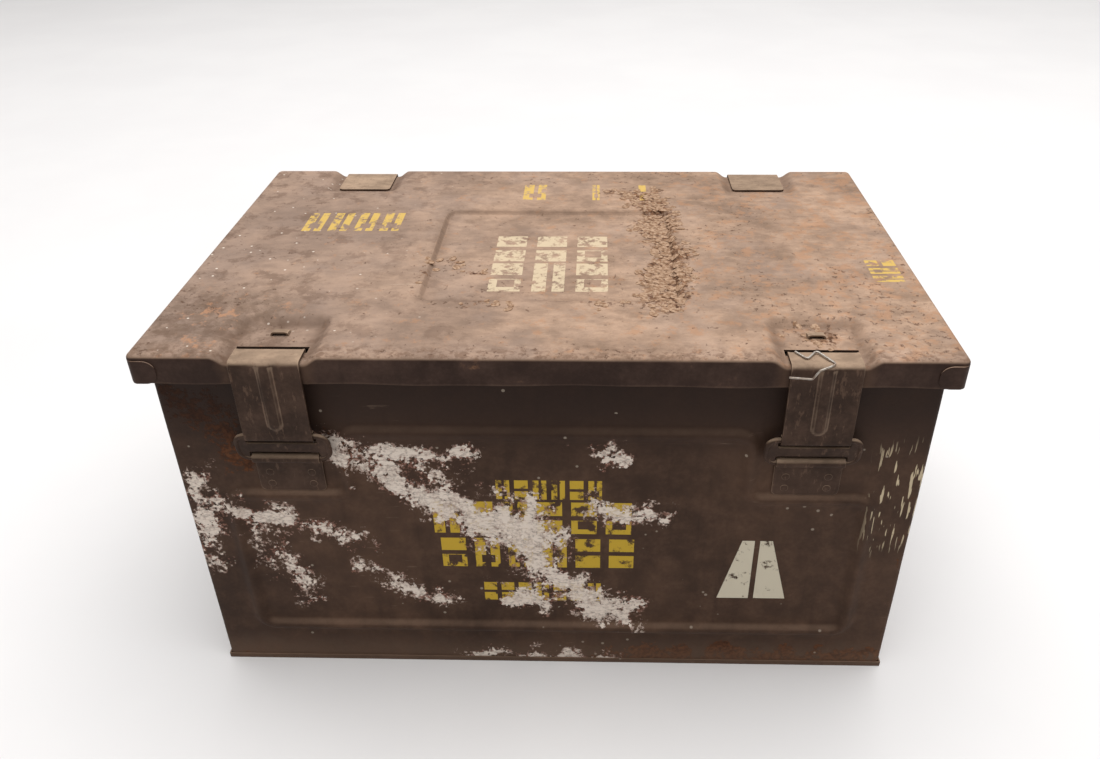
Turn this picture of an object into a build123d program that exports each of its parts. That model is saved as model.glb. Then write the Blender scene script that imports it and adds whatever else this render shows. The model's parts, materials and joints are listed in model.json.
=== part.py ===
from build123d import *
import os
from math import atan2, cos, hypot, radians, sin, tan

# Steel ammunition crate: folded sheet body, hinged tray lid, two strap latches on the front,
# two strap hinges at the back and a drop handle on each end.
# Millimetres. Origin on the floor under the middle of the body, +X to the right, -Y to the front, +Z up.

# ---- Driving dimensions: body and lid ----
lid_width = 440.0
lid_depth = 282.0
overall_height = 236.0
lid_overhang = 7.5            # lid stands this far outside the body walls, all round
sheet = 1.2                   # steel sheet of body and lid
skirt_height = 17.5
lid_corner_radius = 4.0
top_edge_radius = 3.0
corner_tab_width = 15.5       # end skirts lap this far round onto the front and back skirts
corner_tab_thickness = 1.0
base_lip_height = 3.4         # base tray's edge, turned up outside the walls
base_lip_thickness = 0.8
rim_flange = 4.5              # walls turn out this far at the top, under the gasket
gasket_nip = 2.6              # gasket thickness left under the lid's pockets
body_gap = 0.3                # air between pieces that move apart

# ---- Pressings in the lid ----
recess_width = 148.0
recess_depth_y = 132.0
recess_y = -6.5
recess_drop = 3.5
recess_radius = 7.0
recess_slope = 45.0           # degrees from vertical
pocket_drop = 4.5
pocket_slope = 52.0
pocket_radius = 4.0
pocket_side_gap = 1.5         # pocket floor is this much wider than the strap, each side
latch_pocket_length = 41.0    # from the lid's front edge to the foot of the far wall
hinge_pocket_length = 37.0
louvre_width = 10.5
louvre_length = 6.5
louvre_height = 2.4
louvre_taper = 18             # degrees
louvre_setback = 29.5         # lid's front edge to the louvre's mouth
slot_gap_front = 0.5
slot_gap_back = 4.4

# ---- Stiffening beads of the walls ----
bead_width = 9.0
bead_height = 3.0
bead_corner_radius = 9.0
bead_top_inset = 44.5         # from the underside of the wall's rim to the bead's upper run
bead_step_drop = 45.0         # upper run down to the runs below the latches
bead_side_inset = 27.5        # body's side to the bead's side runs
bead_foot_height = 32.0
bead_link_gap = 1.0           # bead's shoulder to the link's edge
bead_leaf_gap = 2.0           # back hinge's plate to the bead below it
bead_taper = 35               # degrees

# ---- Strap latches ----
latch_x = 146.5
strap_width = 38.0
strap_thickness = 1.4
strap_gap = 0.4               # strap to the lid's skirt
strap_top_length = 15.5       # part of the strap that lies in the lid's pocket
strap_lip_drop = 2.5          # lip at the strap's end, below its top plate
strap_foot_drop = 34.0        # skirt's lower edge down to the strap's pivot
strap_bend_radius = 3.0
rib_width = 9.0
rib_height = 1.0
rib_taper = 40                # degrees
rib_foot_gap = 2.0            # strap's eye to the rib's lower end
link_strap_gap = 0.8          # strap's side to the link's side bar
link_thickness = 2.0
link_bar_radius = 1.5
link_side_bar = 7.2
link_end_radius = 7.5
link_rise = 17.5              # height between the link's two pivots
link_window_gap = 1.2         # curl to centre bar
link_edge_radius = 0.6
link_end_lap = 0.2            # flat plate reaches this far past the bars
bar_socket = 1.0              # bars run this far into the side bars
latch_plate_drop = 24.5       # link's lower pivot down to the plate's foot
running_gap = 0.08            # radial, pivot bar in its curl
plate_corner_radius = 3.0     # lower corners of the latch and hinge plates

# ---- Back hinges ----
hinge_strap_thickness = 1.6
hinge_pin_radius = 2.0
hinge_pin_gap = 0.06          # radial
hinge_top_length = 35.0       # lid leaf's flat part, from its bend
hinge_below_skirt = 0.8
hinge_centre_knuckle = 18.0
hinge_body_leaf_drop = 34.0
pin_chamfer = 0.4

# ---- End handles ----
bail_radius = 3.0
bail_half_width = 48.0
bail_drop = 42.0
bail_bend_radius = 8.0
bail_pivot_length = 18.0
handle_height = 152.0
clip_thickness = 1.3
clip_width = 8.0
clip_half_height = 12.0
clip_inset = 1.0              # pivot's end stands this far out of its clip

# ---- Seal wire ----
seal_wire_radius = 0.6

# ---- Worked out from the sizes above ----
body_width = lid_width - 2 * lid_overhang
body_depth = lid_depth - 2 * lid_overhang
lid_underside = overall_height - sheet
skirt_foot = overall_height - skirt_height
pocket_floor = overall_height - pocket_drop
wall_top = pocket_floor - sheet - gasket_nip - body_gap
front_face = -body_depth / 2
back_face = body_depth / 2
pocket_width = strap_width + 2 * pocket_side_gap

curl_bore = link_bar_radius + running_gap
curl_outer = curl_bore + strap_thickness
strap_outer_y = -(lid_depth / 2 + strap_gap + strap_thickness)
strap_pivot_y = strap_outer_y + curl_outer
strap_pivot_z = skirt_foot - strap_foot_drop
strap_top = pocket_floor + body_gap + strap_thickness
strap_back_y = strap_outer_y + strap_top_length
link_pivot_y = front_face - curl_outer
link_pivot_z = strap_pivot_z - link_rise
link_lean = atan2(link_pivot_y - strap_pivot_y, link_rise)
link_pitch = hypot(link_pivot_y - strap_pivot_y, link_rise)
window_width = strap_width + 2 * link_strap_gap
link_width = window_width + 2 * link_side_bar

hinge_bore = hinge_pin_radius + hinge_pin_gap
hinge_outer = hinge_bore + hinge_strap_thickness
hinge_back_y = lid_depth / 2 + hinge_strap_thickness
hinge_y = hinge_back_y - hinge_outer
hinge_z = skirt_foot - hinge_below_skirt - hinge_outer
hinge_leaf_top = pocket_floor + hinge_strap_thickness

clip_bore = bail_radius + running_gap
clip_outer = clip_bore + clip_thickness
handle_x = body_width / 2 + clip_outer
pivot_end = bail_half_width + bail_pivot_length

os.makedirs("parts", exist_ok=True)
sides = {"left": -1, "right": 1}


def keep(part, label):
    """Label a finished piece and write it to its own file."""
    part.label = label
    export_step(part, f"parts/{label}.step")


# ---- Base tray ----
with BuildPart() as base_pan:
    with BuildSketch(Plane.XY):
        Rectangle(body_width + 2 * base_lip_thickness, body_depth + 2 * base_lip_thickness)
    extrude(amount=base_lip_height)
    with BuildSketch(Plane.XY.offset(sheet)):
        Rectangle(body_width, body_depth)
    extrude(amount=base_lip_height, mode=Mode.SUBTRACT)
    fillet(base_pan.edges().filter_by(Axis.Z).group_by(SortBy.DISTANCE)[-1], base_lip_thickness)
keep(base_pan.part, "base_pan")


# ---- Walls: flat sheets, pressed with a stiffening bead, whose upper edge turns outwards ----
def bead_ring(outline, plane, half_width):
    """Flat ring that follows a closed outline, half_width to each side of it."""
    rings = []
    for reach in (half_width, -half_width):
        with BuildSketch(plane) as ring:
            with BuildLine():
                Polyline(*outline, close=True)
            make_face()
            fillet(ring.vertices(), bead_corner_radius)
            offset(amount=reach, kind=Kind.INTERSECTION)
        rings.append(ring.sketch)
    return rings[0] - rings[1]


def wall(width, outline, place, rim_width):
    """A wall drawn in the XZ plane through the origin, its outside facing -Y, then moved to its place."""
    with BuildPart() as sheet_wall:
        with BuildSketch(Plane.XZ):
            with Locations((0, sheet)):
                Rectangle(width, wall_top - sheet, align=(Align.CENTER, Align.MIN))
        extrude(amount=-sheet)
        with BuildSketch(Plane.XY.offset(wall_top - sheet)):
            with Locations((0, -rim_flange)):
                Rectangle(rim_width, rim_flange + sheet, align=(Align.CENTER, Align.MIN))
        extrude(amount=sheet)
        add(extrude(bead_ring(outline, Plane.XZ, bead_width / 2), amount=bead_height,
                    taper=bead_taper, mode=Mode.PRIVATE))
        add(extrude(bead_ring(outline, Plane.XZ.offset(-sheet), bead_width / 2 - sheet), amount=bead_height,
                    taper=bead_taper, mode=Mode.PRIVATE), mode=Mode.SUBTRACT)
    return place * sheet_wall.part


def frame_outline(width):
    """Plain four-sided bead for the back and the ends, below the plates of the back hinges."""
    top = hinge_z - hinge_body_leaf_drop - bead_width / 2 - bead_leaf_gap
    side = width / 2 - bead_side_inset
    return [(-side, top), (side, top), (side, bead_foot_height), (-side, bead_foot_height)]


bead_top = wall_top - bead_top_inset
bead_step = bead_top - bead_step_drop
bead_side = body_width / 2 - bead_side_inset
bead_shoulder = latch_x - (link_width + bead_width) / 2 - bead_link_gap
# The front bead is stepped down under each latch.
front_outline = [(-bead_shoulder, bead_top), (bead_shoulder, bead_top), (bead_shoulder, bead_step),
                 (bead_side, bead_step), (bead_side, bead_foot_height), (-bead_side, bead_foot_height),
                 (-bead_side, bead_step), (-bead_shoulder, bead_step)]
full_rim = body_width + 2 * rim_flange
end_width = body_depth - 2 * sheet
front_panel = wall(body_width, front_outline, Location((0, front_face, 0)), full_rim)
keep(front_panel, "front_panel")
back_panel = wall(body_width, frame_outline(body_width), Location((0, back_face, 0), (0, 0, 180)), full_rim)
keep(back_panel, "back_panel")
for side, sign in sides.items():
    end_place = Location((sign * body_width / 2, 0, 0), (0, 0, sign * 90))
    end_panel = wall(end_width, frame_outline(body_depth), end_place, end_width)
    keep(end_panel, f"{side}_end_panel")


# ---- Lid: one pressed tray, with pockets for the latches and hinges ----
def lid_form(inset):
    """The lid as a solid form, every face drawn in by inset: 0 is the outside, sheet the inside."""
    latch_length = latch_pocket_length + lid_corner_radius
    hinge_length = hinge_pocket_length + lid_corner_radius
    pressings = [(0, recess_y, recess_width, recess_depth_y, recess_drop, recess_slope, recess_radius)]
    for sign in sides.values():
        pressings.append((sign * latch_x, (latch_pocket_length - lid_corner_radius - lid_depth) / 2,
                          pocket_width, latch_length, pocket_drop, pocket_slope, pocket_radius))
        pressings.append((sign * latch_x, (lid_depth + lid_corner_radius - hinge_pocket_length) / 2,
                          pocket_width, hinge_length, pocket_drop, pocket_slope, pocket_radius))
    with BuildPart() as form:
        with BuildSketch(Plane.XY.offset(skirt_foot - inset)):
            RectangleRounded(lid_width - 2 * inset, lid_depth - 2 * inset, lid_corner_radius - inset)
        extrude(amount=skirt_height)
        fillet(form.faces().sort_by(Axis.Z)[-1].edges(), top_edge_radius - inset)
        for x, y, width, length, drop, slope, radius in pressings:
            with BuildSketch(Plane.XY.offset(overall_height - drop - inset)):
                with Locations((x, y)):
                    RectangleRounded(width + 2 * inset, length + 2 * inset, radius + inset)
            extrude(amount=drop + inset, taper=-slope, mode=Mode.SUBTRACT)
    return form.part


lid_outside = lid_form(0)
lid_inside = lid_form(sheet)

with BuildPart() as lid_shell:
    add(lid_outside)
    add(lid_inside, mode=Mode.SUBTRACT)
    # Each end skirt is lapped round the corner onto the front and back skirts.
    tab_width = corner_tab_width - lid_corner_radius
    tab_height = skirt_height - top_edge_radius
    for facing in (-1, 1):
        skirt_face = Plane(origin=(0, facing * lid_depth / 2, 0), x_dir=(-facing, 0, 0), z_dir=(0, facing, 0))
        for sign in sides.values():
            with BuildSketch(skirt_face):
                with Locations((sign * (lid_width / 2 - lid_corner_radius - tab_width / 2),
                                skirt_foot + tab_height / 2)):
                    RectangleRounded(tab_width, tab_height, tab_width / 4)
            extrude(amount=corner_tab_thickness)
    for sign in sides.values():
        # Slot for the strap's lip.
        with BuildSketch(Plane.XY.offset(pocket_floor)):
            with Locations((sign * latch_x, strap_back_y - strap_thickness - slot_gap_front)):
                Rectangle(pocket_width - pocket_side_gap, strap_thickness + slot_gap_front + slot_gap_back,
                          align=(Align.CENTER, Align.MIN))
        extrude(amount=-2 * sheet, mode=Mode.SUBTRACT)
        # Louvre lanced up behind the slot, its mouth to the front.
        louvre_mouth = -lid_depth / 2 + louvre_setback
        with BuildSketch(Plane.XY.offset(pocket_floor)):
            with Locations((sign * latch_x, louvre_mouth)):
                Rectangle(louvre_width, louvre_length, align=(Align.CENTER, Align.MIN))
        extrude(amount=louvre_height, taper=louvre_taper)
        with BuildSketch(Plane.XY.offset(pocket_floor - 2 * sheet)):
            with Locations((sign * latch_x, louvre_mouth - sheet)):
                Rectangle(louvre_width - 2 * sheet, louvre_length, align=(Align.CENTER, Align.MIN))
        extrude(amount=louvre_height + sheet, mode=Mode.SUBTRACT)
keep(lid_shell.part, "lid_shell")

# Rubber seal glued under the lid, over the walls' turned-out rim.
with BuildPart() as lid_gasket:
    with BuildSketch(Plane.XY.offset(wall_top + body_gap)):
        Rectangle(body_width + 2 * rim_flange, body_depth + 2 * rim_flange)
        Rectangle(body_width - 2 * sheet, body_depth - 2 * sheet, mode=Mode.SUBTRACT)
    extrude(amount=lid_underside - wall_top - body_gap)
    pocket_rise = (pocket_drop + sheet) * tan(radians(pocket_slope))
    with BuildSketch(Plane.XY.offset(pocket_floor - sheet)):
        with Locations(*[(sign * latch_x, 0) for sign in sides.values()]):
            Rectangle(pocket_width + 2 * sheet + 2 * pocket_rise, lid_depth)
    extrude(amount=pocket_drop + sheet, mode=Mode.SUBTRACT)
keep(lid_gasket.part, "lid_gasket")


# ---- Hinge and latch plates share a rolled eye, drawn as a side profile and extruded along X ----
def plate_profile(outline, eye, outer_radius, bore_radius):
    """Side view, in Y and Z, of a plate with an eye rolled on it."""
    with BuildSketch(Plane.YZ) as profile:
        with BuildLine():
            Polyline(*outline, close=True)
        make_face()
        with Locations(eye):
            Circle(outer_radius)
            Circle(bore_radius, mode=Mode.SUBTRACT)
    return profile.sketch


for side, sign in sides.items():
    # Latch plate on the front wall, its eye round the link's lower bar.
    with BuildPart() as latch_plate:
        plate_face = front_face - strap_thickness
        foot = link_pivot_z - latch_plate_drop
        outline = [(front_face, foot), (plate_face, foot), (plate_face, link_pivot_z), (front_face, link_pivot_z)]
        eye = (link_pivot_y, link_pivot_z)
        add(Pos(sign * latch_x - strap_width / 2, 0, 0) * extrude(
            plate_profile(outline, eye, curl_outer, curl_bore), amount=strap_width, mode=Mode.PRIVATE))
        fillet(latch_plate.edges().filter_by(Axis.Y).group_by(Axis.Z)[0], plate_corner_radius)
    keep(latch_plate.part, f"{side}_latch_plate")

    # Link: an oblong plate with two windows, whose top and bottom bars are the latch's pivots.
    link_plane = Plane(origin=(sign * latch_x, link_pivot_y, link_pivot_z), x_dir=(1, 0, 0),
                       z_dir=(0, -cos(link_lean), -sin(link_lean)))
    with BuildPart() as link:
        with BuildSketch(link_plane):
            with Locations((0, link_pitch / 2)):
                RectangleRounded(link_width, link_pitch + 2 * (link_bar_radius + link_end_lap), link_end_radius)
                window = 2 * (curl_outer + link_window_gap)
                with Locations((0, link_pitch / 2), (0, -link_pitch / 2)):
                    Rectangle(window_width, window, mode=Mode.SUBTRACT)
        extrude(amount=link_thickness / 2, both=True)
        fillet(link.edges().filter_by(GeomType.CIRCLE), link_edge_radius)
        for rise in (0, link_pitch):
            bar_plane = Plane(origin=link_plane.from_local_coords((-window_width / 2 - bar_socket, rise, 0)),
                              z_dir=(1, 0, 0))
            with BuildSketch(bar_plane):
                Circle(link_bar_radius)
            extrude(amount=window_width + 2 * bar_socket)
    keep(link.part, f"{side}_link")

    # Strap: hangs on the link's top bar, stands up the skirt and turns into the lid's pocket.
    with BuildPart() as strap:
        inner_y = strap_outer_y + strap_thickness
        under = strap_top - strap_thickness
        lip_y = strap_back_y - strap_thickness
        lip_foot = strap_top - strap_lip_drop
        outline = [(strap_outer_y, strap_pivot_z), (inner_y, strap_pivot_z), (inner_y, under),
                   (lip_y, under), (lip_y, lip_foot), (strap_back_y, lip_foot), (strap_back_y, strap_top),
                   (strap_outer_y, strap_top)]
        eye = (strap_pivot_y, strap_pivot_z)
        add(Pos(sign * latch_x - strap_width / 2, 0, 0) * extrude(
            plate_profile(outline, eye, curl_outer, curl_bore), amount=strap_width, mode=Mode.PRIVATE))
        outer_bend = strap.edges().filter_by(Axis.X).group_by(Axis.Z)[-1].sort_by(Axis.Y)[0]
        fillet(outer_bend, strap_bend_radius)
        # Rib pressed down the middle of the upright part.
        rib_foot = strap_pivot_z + curl_outer + rib_foot_gap
        rib_top = strap_top - strap_bend_radius
        rib_plane = Plane(origin=(sign * latch_x, strap_outer_y, (rib_foot + rib_top) / 2),
                          x_dir=(0, 0, 1), z_dir=(0, -1, 0))
        with BuildSketch(rib_plane):
            SlotOverall(rib_top - rib_foot, rib_width)
        extrude(amount=rib_height, taper=rib_taper)
    keep(strap.part, f"{side}_strap")

    # Lid leaf of the back hinge: lies in its pocket, turns down the back skirt, one middle eye.
    leaf_inner_y = hinge_back_y - hinge_strap_thickness
    eye = (hinge_y, hinge_z)
    with BuildPart() as lid_leaf:
        leaf_foot = hinge_z + hinge_outer + 2 * body_gap
        leaf_front = hinge_back_y - hinge_top_length
        leaf_under = hinge_leaf_top - hinge_strap_thickness
        with BuildSketch(Plane.YZ.offset(sign * latch_x - strap_width / 2)):
            with BuildLine():
                Polyline((leaf_inner_y, leaf_foot), (hinge_back_y, leaf_foot), (hinge_back_y, hinge_leaf_top),
                         (leaf_front, hinge_leaf_top), (leaf_front, leaf_under), (leaf_inner_y, leaf_under),
                         close=True)
            make_face()
        extrude(amount=strap_width)
        fillet(lid_leaf.edges().filter_by(Axis.X).group_by(Axis.Z)[-1].sort_by(Axis.Y)[-1], strap_bend_radius)
        stem = [(hinge_y + hinge_bore, hinge_z), (hinge_back_y, hinge_z), (hinge_back_y, leaf_foot),
                (leaf_inner_y, leaf_foot)]
        add(Pos(sign * latch_x - hinge_centre_knuckle / 2, 0, 0) * extrude(
            plate_profile(stem, eye, hinge_outer, hinge_bore), amount=hinge_centre_knuckle, mode=Mode.PRIVATE))
    keep(lid_leaf.part, f"{side}_hinge_lid_leaf")

    # Body leaf: a plate down the back wall with two outer eyes.
    with BuildPart() as body_leaf:
        leaf_bottom = hinge_z - hinge_body_leaf_drop
        with BuildSketch(Plane.YZ.offset(sign * latch_x - strap_width / 2)):
            with Locations((back_face, leaf_bottom)):
                Rectangle(hinge_strap_thickness, hinge_z - leaf_bottom, align=(Align.MIN, Align.MIN))
        extrude(amount=strap_width)
        fillet(body_leaf.edges().filter_by(Axis.Y).group_by(Axis.Z)[0], plate_corner_radius)
        web = [(back_face, hinge_z - hinge_bore), (hinge_y - hinge_bore, hinge_z - hinge_bore),
               (hinge_y - hinge_bore, hinge_z), (back_face, hinge_z)]
        eye_width = (strap_width - hinge_centre_knuckle) / 2 - body_gap
        for start in (-strap_width / 2, strap_width / 2 - eye_width):
            add(Pos(sign * latch_x + start, 0, 0) * extrude(
                plate_profile(web, eye, hinge_outer, hinge_bore), amount=eye_width, mode=Mode.PRIVATE))
        # The plate is cut back behind the lid leaf's eye.
        with BuildSketch(Plane.YZ.offset(sign * latch_x - hinge_centre_knuckle / 2 - body_gap)):
            with Locations(eye):
                Circle(hinge_outer + body_gap)
        extrude(amount=hinge_centre_knuckle + 2 * body_gap, mode=Mode.SUBTRACT)
    keep(body_leaf.part, f"{side}_hinge_body_leaf")

    with BuildPart() as hinge_pin:
        with BuildSketch(Plane(origin=(sign * latch_x - strap_width / 2, hinge_y, hinge_z), z_dir=(1, 0, 0))):
            Circle(hinge_pin_radius)
        extrude(amount=strap_width)
        chamfer(hinge_pin.edges().filter_by(GeomType.CIRCLE), pin_chamfer)
    keep(hinge_pin.part, f"{side}_hinge_pin")

    # Drop handle on the end wall and the two clips that hold its pivots.
    with BuildPart() as handle:
        grip = handle_height - bail_drop
        with BuildLine(Plane.YZ.offset(sign * handle_x)):
            FilletPolyline((-pivot_end, handle_height), (-bail_half_width, handle_height), (-bail_half_width, grip),
                           (bail_half_width, grip), (bail_half_width, handle_height), (pivot_end, handle_height),
                           radius=bail_bend_radius)
        with BuildSketch(Plane(origin=(sign * handle_x, -pivot_end, handle_height), z_dir=(0, 1, 0))):
            Circle(bail_radius)
        sweep()
    keep(handle.part, f"{side}_handle")

    for place, facing in (("front", -1), ("back", 1)):
        clip_start = facing * (pivot_end - clip_width / 2 - clip_inset) - clip_width / 2
        with BuildPart() as clip:
            with BuildSketch(Plane.XZ.offset(-clip_start)):
                with Locations((sign * (body_width + clip_thickness) / 2, handle_height)):
                    Rectangle(clip_thickness, 2 * clip_half_height)
                with Locations((sign * handle_x, handle_height)):
                    Circle(clip_outer)
                    Circle(clip_bore, mode=Mode.SUBTRACT)
            extrude(amount=-clip_width)
        keep(clip.part, f"{side}_handle_{place}_clip")


# ---- Broken seal wire, caught round the right strap's corner ----
def wire(start, points):
    """Thin bent wire through the points, measured from start."""
    with BuildPart() as bent:
        places = [Vector(*start) + Vector(*point) for point in points]
        for here, there in zip(places, places[1:]):
            run = there - here
            with BuildSketch(Plane(origin=here, z_dir=run)):
                Circle(seal_wire_radius)
            extrude(amount=run.length)
        with Locations(*places):
            Sphere(seal_wire_radius)
    return bent.part


seal_corner = (latch_x - strap_width / 2, strap_outer_y, strap_top)
seal_wire = wire(seal_corner, [(4, 14, 0.7), (9, 6, 0.9), (15, 14, 1.2), (23, 1, 0.9), (14, -1.9, -1.5),
                               (11, -1.9, -6.5), (-1, -2.0, -5.5)])
keep(seal_wire, "right_seal_wire")
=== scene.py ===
# %% [markdown]
# # An old steel ammunition crate
# The crate is folded and pressed from thin steel sheet: a body of flat walls with a stiffening bead, a tray lid
# with pockets for its latches and hinges, two strap latches, and a drop handle on each end.
# Its sizes and joints are settled already, so this lesson starts by loading that model as a fixed frame.
# Every new piece takes its place from the frame and rides on one of its bodies.

# %% Load the frame
import json
import math

import bpy
import numpy as np
from mathutils import Matrix, Vector, noise

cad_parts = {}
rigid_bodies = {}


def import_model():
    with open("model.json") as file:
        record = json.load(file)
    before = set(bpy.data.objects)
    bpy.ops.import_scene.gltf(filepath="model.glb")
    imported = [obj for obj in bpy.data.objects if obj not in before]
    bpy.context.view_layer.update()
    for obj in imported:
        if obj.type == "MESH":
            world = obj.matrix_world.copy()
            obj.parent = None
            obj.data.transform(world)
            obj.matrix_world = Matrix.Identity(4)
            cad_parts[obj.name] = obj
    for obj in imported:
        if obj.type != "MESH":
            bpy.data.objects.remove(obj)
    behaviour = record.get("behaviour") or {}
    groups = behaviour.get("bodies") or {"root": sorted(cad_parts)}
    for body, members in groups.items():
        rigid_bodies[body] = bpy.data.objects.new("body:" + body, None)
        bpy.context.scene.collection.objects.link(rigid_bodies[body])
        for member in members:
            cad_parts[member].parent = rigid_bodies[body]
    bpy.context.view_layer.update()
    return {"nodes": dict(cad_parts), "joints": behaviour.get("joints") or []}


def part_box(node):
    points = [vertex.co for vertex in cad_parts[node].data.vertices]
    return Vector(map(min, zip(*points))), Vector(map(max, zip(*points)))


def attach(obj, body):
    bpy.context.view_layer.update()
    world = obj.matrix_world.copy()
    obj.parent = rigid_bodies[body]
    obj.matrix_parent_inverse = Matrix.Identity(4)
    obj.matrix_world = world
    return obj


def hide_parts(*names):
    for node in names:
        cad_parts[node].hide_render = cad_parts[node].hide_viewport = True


for leftover in list(bpy.data.objects):
    bpy.data.objects.remove(leftover)
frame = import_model()
MM = 0.001

# %% [markdown]
# ## Sizes
# Places come from the boxes of the frame's nodes. The few values that a box can't give, such as the sheet's
# thickness or the depth of a pressing, are named here once, in millimetres.

# %% Measure the frame and name the sheet metal's own sizes


def box_mm(node):
    """Lowest and highest corner of a node, in millimetres."""
    low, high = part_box(node)
    return np.array(low) / MM, np.array(high) / MM


SIDES = {"left": -1, "right": 1}
sheet = 1.2
rim_flange = 4.5
corner_bend = 2.5
seam_return = 9.0
bead_width = 9.0
bead_height = 3.0
bead_corner = 9.0
tab_thickness = 1.0
strap_plate = 1.4
hinge_plate = 1.6
pin_gap = 0.08
bar_radius = 1.5
hinge_pin_radius = 2.0
hinge_pin_gap = 0.06

wall_low, wall_high = box_mm("front_panel")
lid_low, lid_high = box_mm("lid_shell")
half_width = wall_high[0] - rim_flange
front_y = wall_low[1] + rim_flange
back_y = -front_y
wall_foot = wall_low[2]
wall_top = wall_high[2]
lid_half = np.array([lid_high[0], lid_high[1] - tab_thickness])
lid_top = lid_high[2]
skirt_foot = lid_low[2]
strap_low, strap_high = box_mm("right_strap")
link_low, link_high = box_mm("right_link")
leaf_low, leaf_high = box_mm("right_hinge_lid_leaf")
plate_low = box_mm("right_latch_plate")[0]
body_leaf_low = box_mm("right_hinge_body_leaf")[0]
latch_x = (strap_low[0] + strap_high[0]) / 2
strap_width = strap_high[0] - strap_low[0]
joint_at = {j["name"]: np.array(j["pos_m"]) / MM for j in frame["joints"]}
print("body", 2 * half_width, "x", back_y - front_y, "lid top", lid_top, "latches at", latch_x)

# %% [markdown]
# ## Node maths as Python
# A node tree is easier to read as a formula. `Sock` wraps one output socket and overloads the arithmetic
# operators, so `1 - mask * 0.5` adds its Math nodes by itself. `Graph.node` makes any other node from its type,
# its settings and its sockets. The same two classes serve shader trees and geometry trees.

# %% The wrapper for sockets, and the graph that makes nodes


class Sock:
    """One output socket, with arithmetic."""

    def __init__(self, graph, socket):
        self.graph, self.socket = graph, socket

    def __neg__(self):
        return self * -1.0

    def __abs__(self):
        return self.graph.math("ABSOLUTE", self)

    def clamp(self):
        return self.graph.math("MINIMUM", self.graph.math("MAXIMUM", self, 0.0), 1.0)

    def pick(self, name):
        """Another output of the same node."""
        return Sock(self.graph, self.socket.node.outputs[name])


def operator(operation, reflected=False):
    """A method of Sock that adds one Math node, with the values swapped for its reflected form."""
    def method(self, other):
        return self.graph.math(operation, *((other, self) if reflected else (self, other)))
    return method


for symbol, operation in (("add", "ADD"), ("sub", "SUBTRACT"), ("mul", "MULTIPLY"), ("truediv", "DIVIDE"),
                          ("pow", "POWER"), ("lt", "LESS_THAN"), ("gt", "GREATER_THAN")):
    setattr(Sock, f"__{symbol}__", operator(operation))
    if symbol not in ("lt", "gt"):
        setattr(Sock, f"__r{symbol}__", operator(operation, reflected=True))


class Graph:
    """A node tree that is built by calls."""

    def __init__(self, tree):
        self.tree = tree

    def plug(self, value, socket):
        if isinstance(value, Sock):
            self.tree.links.new(value.socket, socket)
        else:
            socket.default_value = value

    def node(self, kind, settings=None, sockets=None, out=0):
        made = self.tree.nodes.new(kind)
        for name, value in (settings or {}).items():
            setattr(made, name, value)
        for key, value in (sockets or {}).items():
            self.plug(value, made.inputs[key])
        return Sock(self, made.outputs[out]) if made.outputs else made

    def math(self, operation, *values):
        return self.node("ShaderNodeMath", {"operation": operation}, dict(enumerate(values)))

    def vector(self, operation, *values):
        return self.node("ShaderNodeVectorMath", {"operation": operation}, dict(enumerate(values)))

    def smooth(self, low, high, value):
        """0 below low, 1 above high, an S between them."""
        return self.node("ShaderNodeMapRange", {"interpolation_type": "SMOOTHSTEP"},
                         {"Value": value, "From Min": low, "From Max": high})

    def split(self, vector):
        """The X, Y and Z of a vector."""
        parts = self.node("ShaderNodeSeparateXYZ", {}, {0: vector})
        return [parts.pick(axis) for axis in "XYZ"]

    def combine(self, x, y, z):
        """A vector from its X, Y and Z."""
        return self.node("ShaderNodeCombineXYZ", {}, {0: x, 1: y, 2: z})

    def scale(self, vector, amount):
        """A vector times one number."""
        return self.node("ShaderNodeVectorMath", {"operation": "SCALE"}, {0: vector, "Scale": amount})

    def mix(self, amount, first, second):
        """Blend two colours."""
        pair = [c if isinstance(c, Sock) else (*c, 1.0) for c in (first, second)]
        return self.node("ShaderNodeMix", {"data_type": "RGBA"}, {0: amount, 6: pair[0], 7: pair[1]}, out=2)


# %% [markdown]
# ## Geometry Nodes trees
# Pressings, bent rods, welds and scabs all repeat or follow a rule, so each is a small tree with named inputs.
# A tree is put on an object as a modifier, its inputs are set by their identifiers, and the result is frozen
# into an ordinary mesh, because the finished pieces carry no live trees.

# %% Helpers to make a tree, use it and freeze the result


def new_tree(name, **inputs):
    """A Geometry Nodes tree with a geometry, a material and these inputs, each (socket type, default)."""
    tree = bpy.data.node_groups.new(name, "GeometryNodeTree")
    tree.interface.new_socket("Geometry", in_out="INPUT", socket_type="NodeSocketGeometry")
    for label, (kind, default) in inputs.items():
        item = tree.interface.new_socket(label, in_out="INPUT", socket_type=kind)
        if default is not None:
            item.default_value = default
    tree.interface.new_socket("Material", in_out="INPUT", socket_type="NodeSocketMaterial")
    tree.interface.new_socket("Geometry", in_out="OUTPUT", socket_type="NodeSocketGeometry")
    graph = Graph(tree)
    start = tree.nodes.new("NodeGroupInput")
    return graph, {s.name: Sock(graph, s) for s in start.outputs if s.name}


def end_tree(graph, geometry, material):
    """Realise what the tree made, set its material and hand it to the tree's output."""
    plain = graph.node("GeometryNodeRealizeInstances", {}, {0: geometry})
    finished = graph.node("GeometryNodeSetMaterial", {}, {0: plain, "Material": material})
    end = graph.tree.nodes.new("NodeGroupOutput")
    graph.plug(finished, end.inputs[0])
    return graph.tree


def use_tree(obj, tree, **values):
    """Put the tree on an object and set its inputs by identifier."""
    modifier = obj.modifiers.new(tree.name, "NODES")
    modifier.node_group = tree
    for item in tree.interface.items_tree:
        if item.item_type == "SOCKET" and item.in_out == "INPUT" and item.name in values:
            modifier[item.identifier] = values[item.name]
    return modifier


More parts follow.
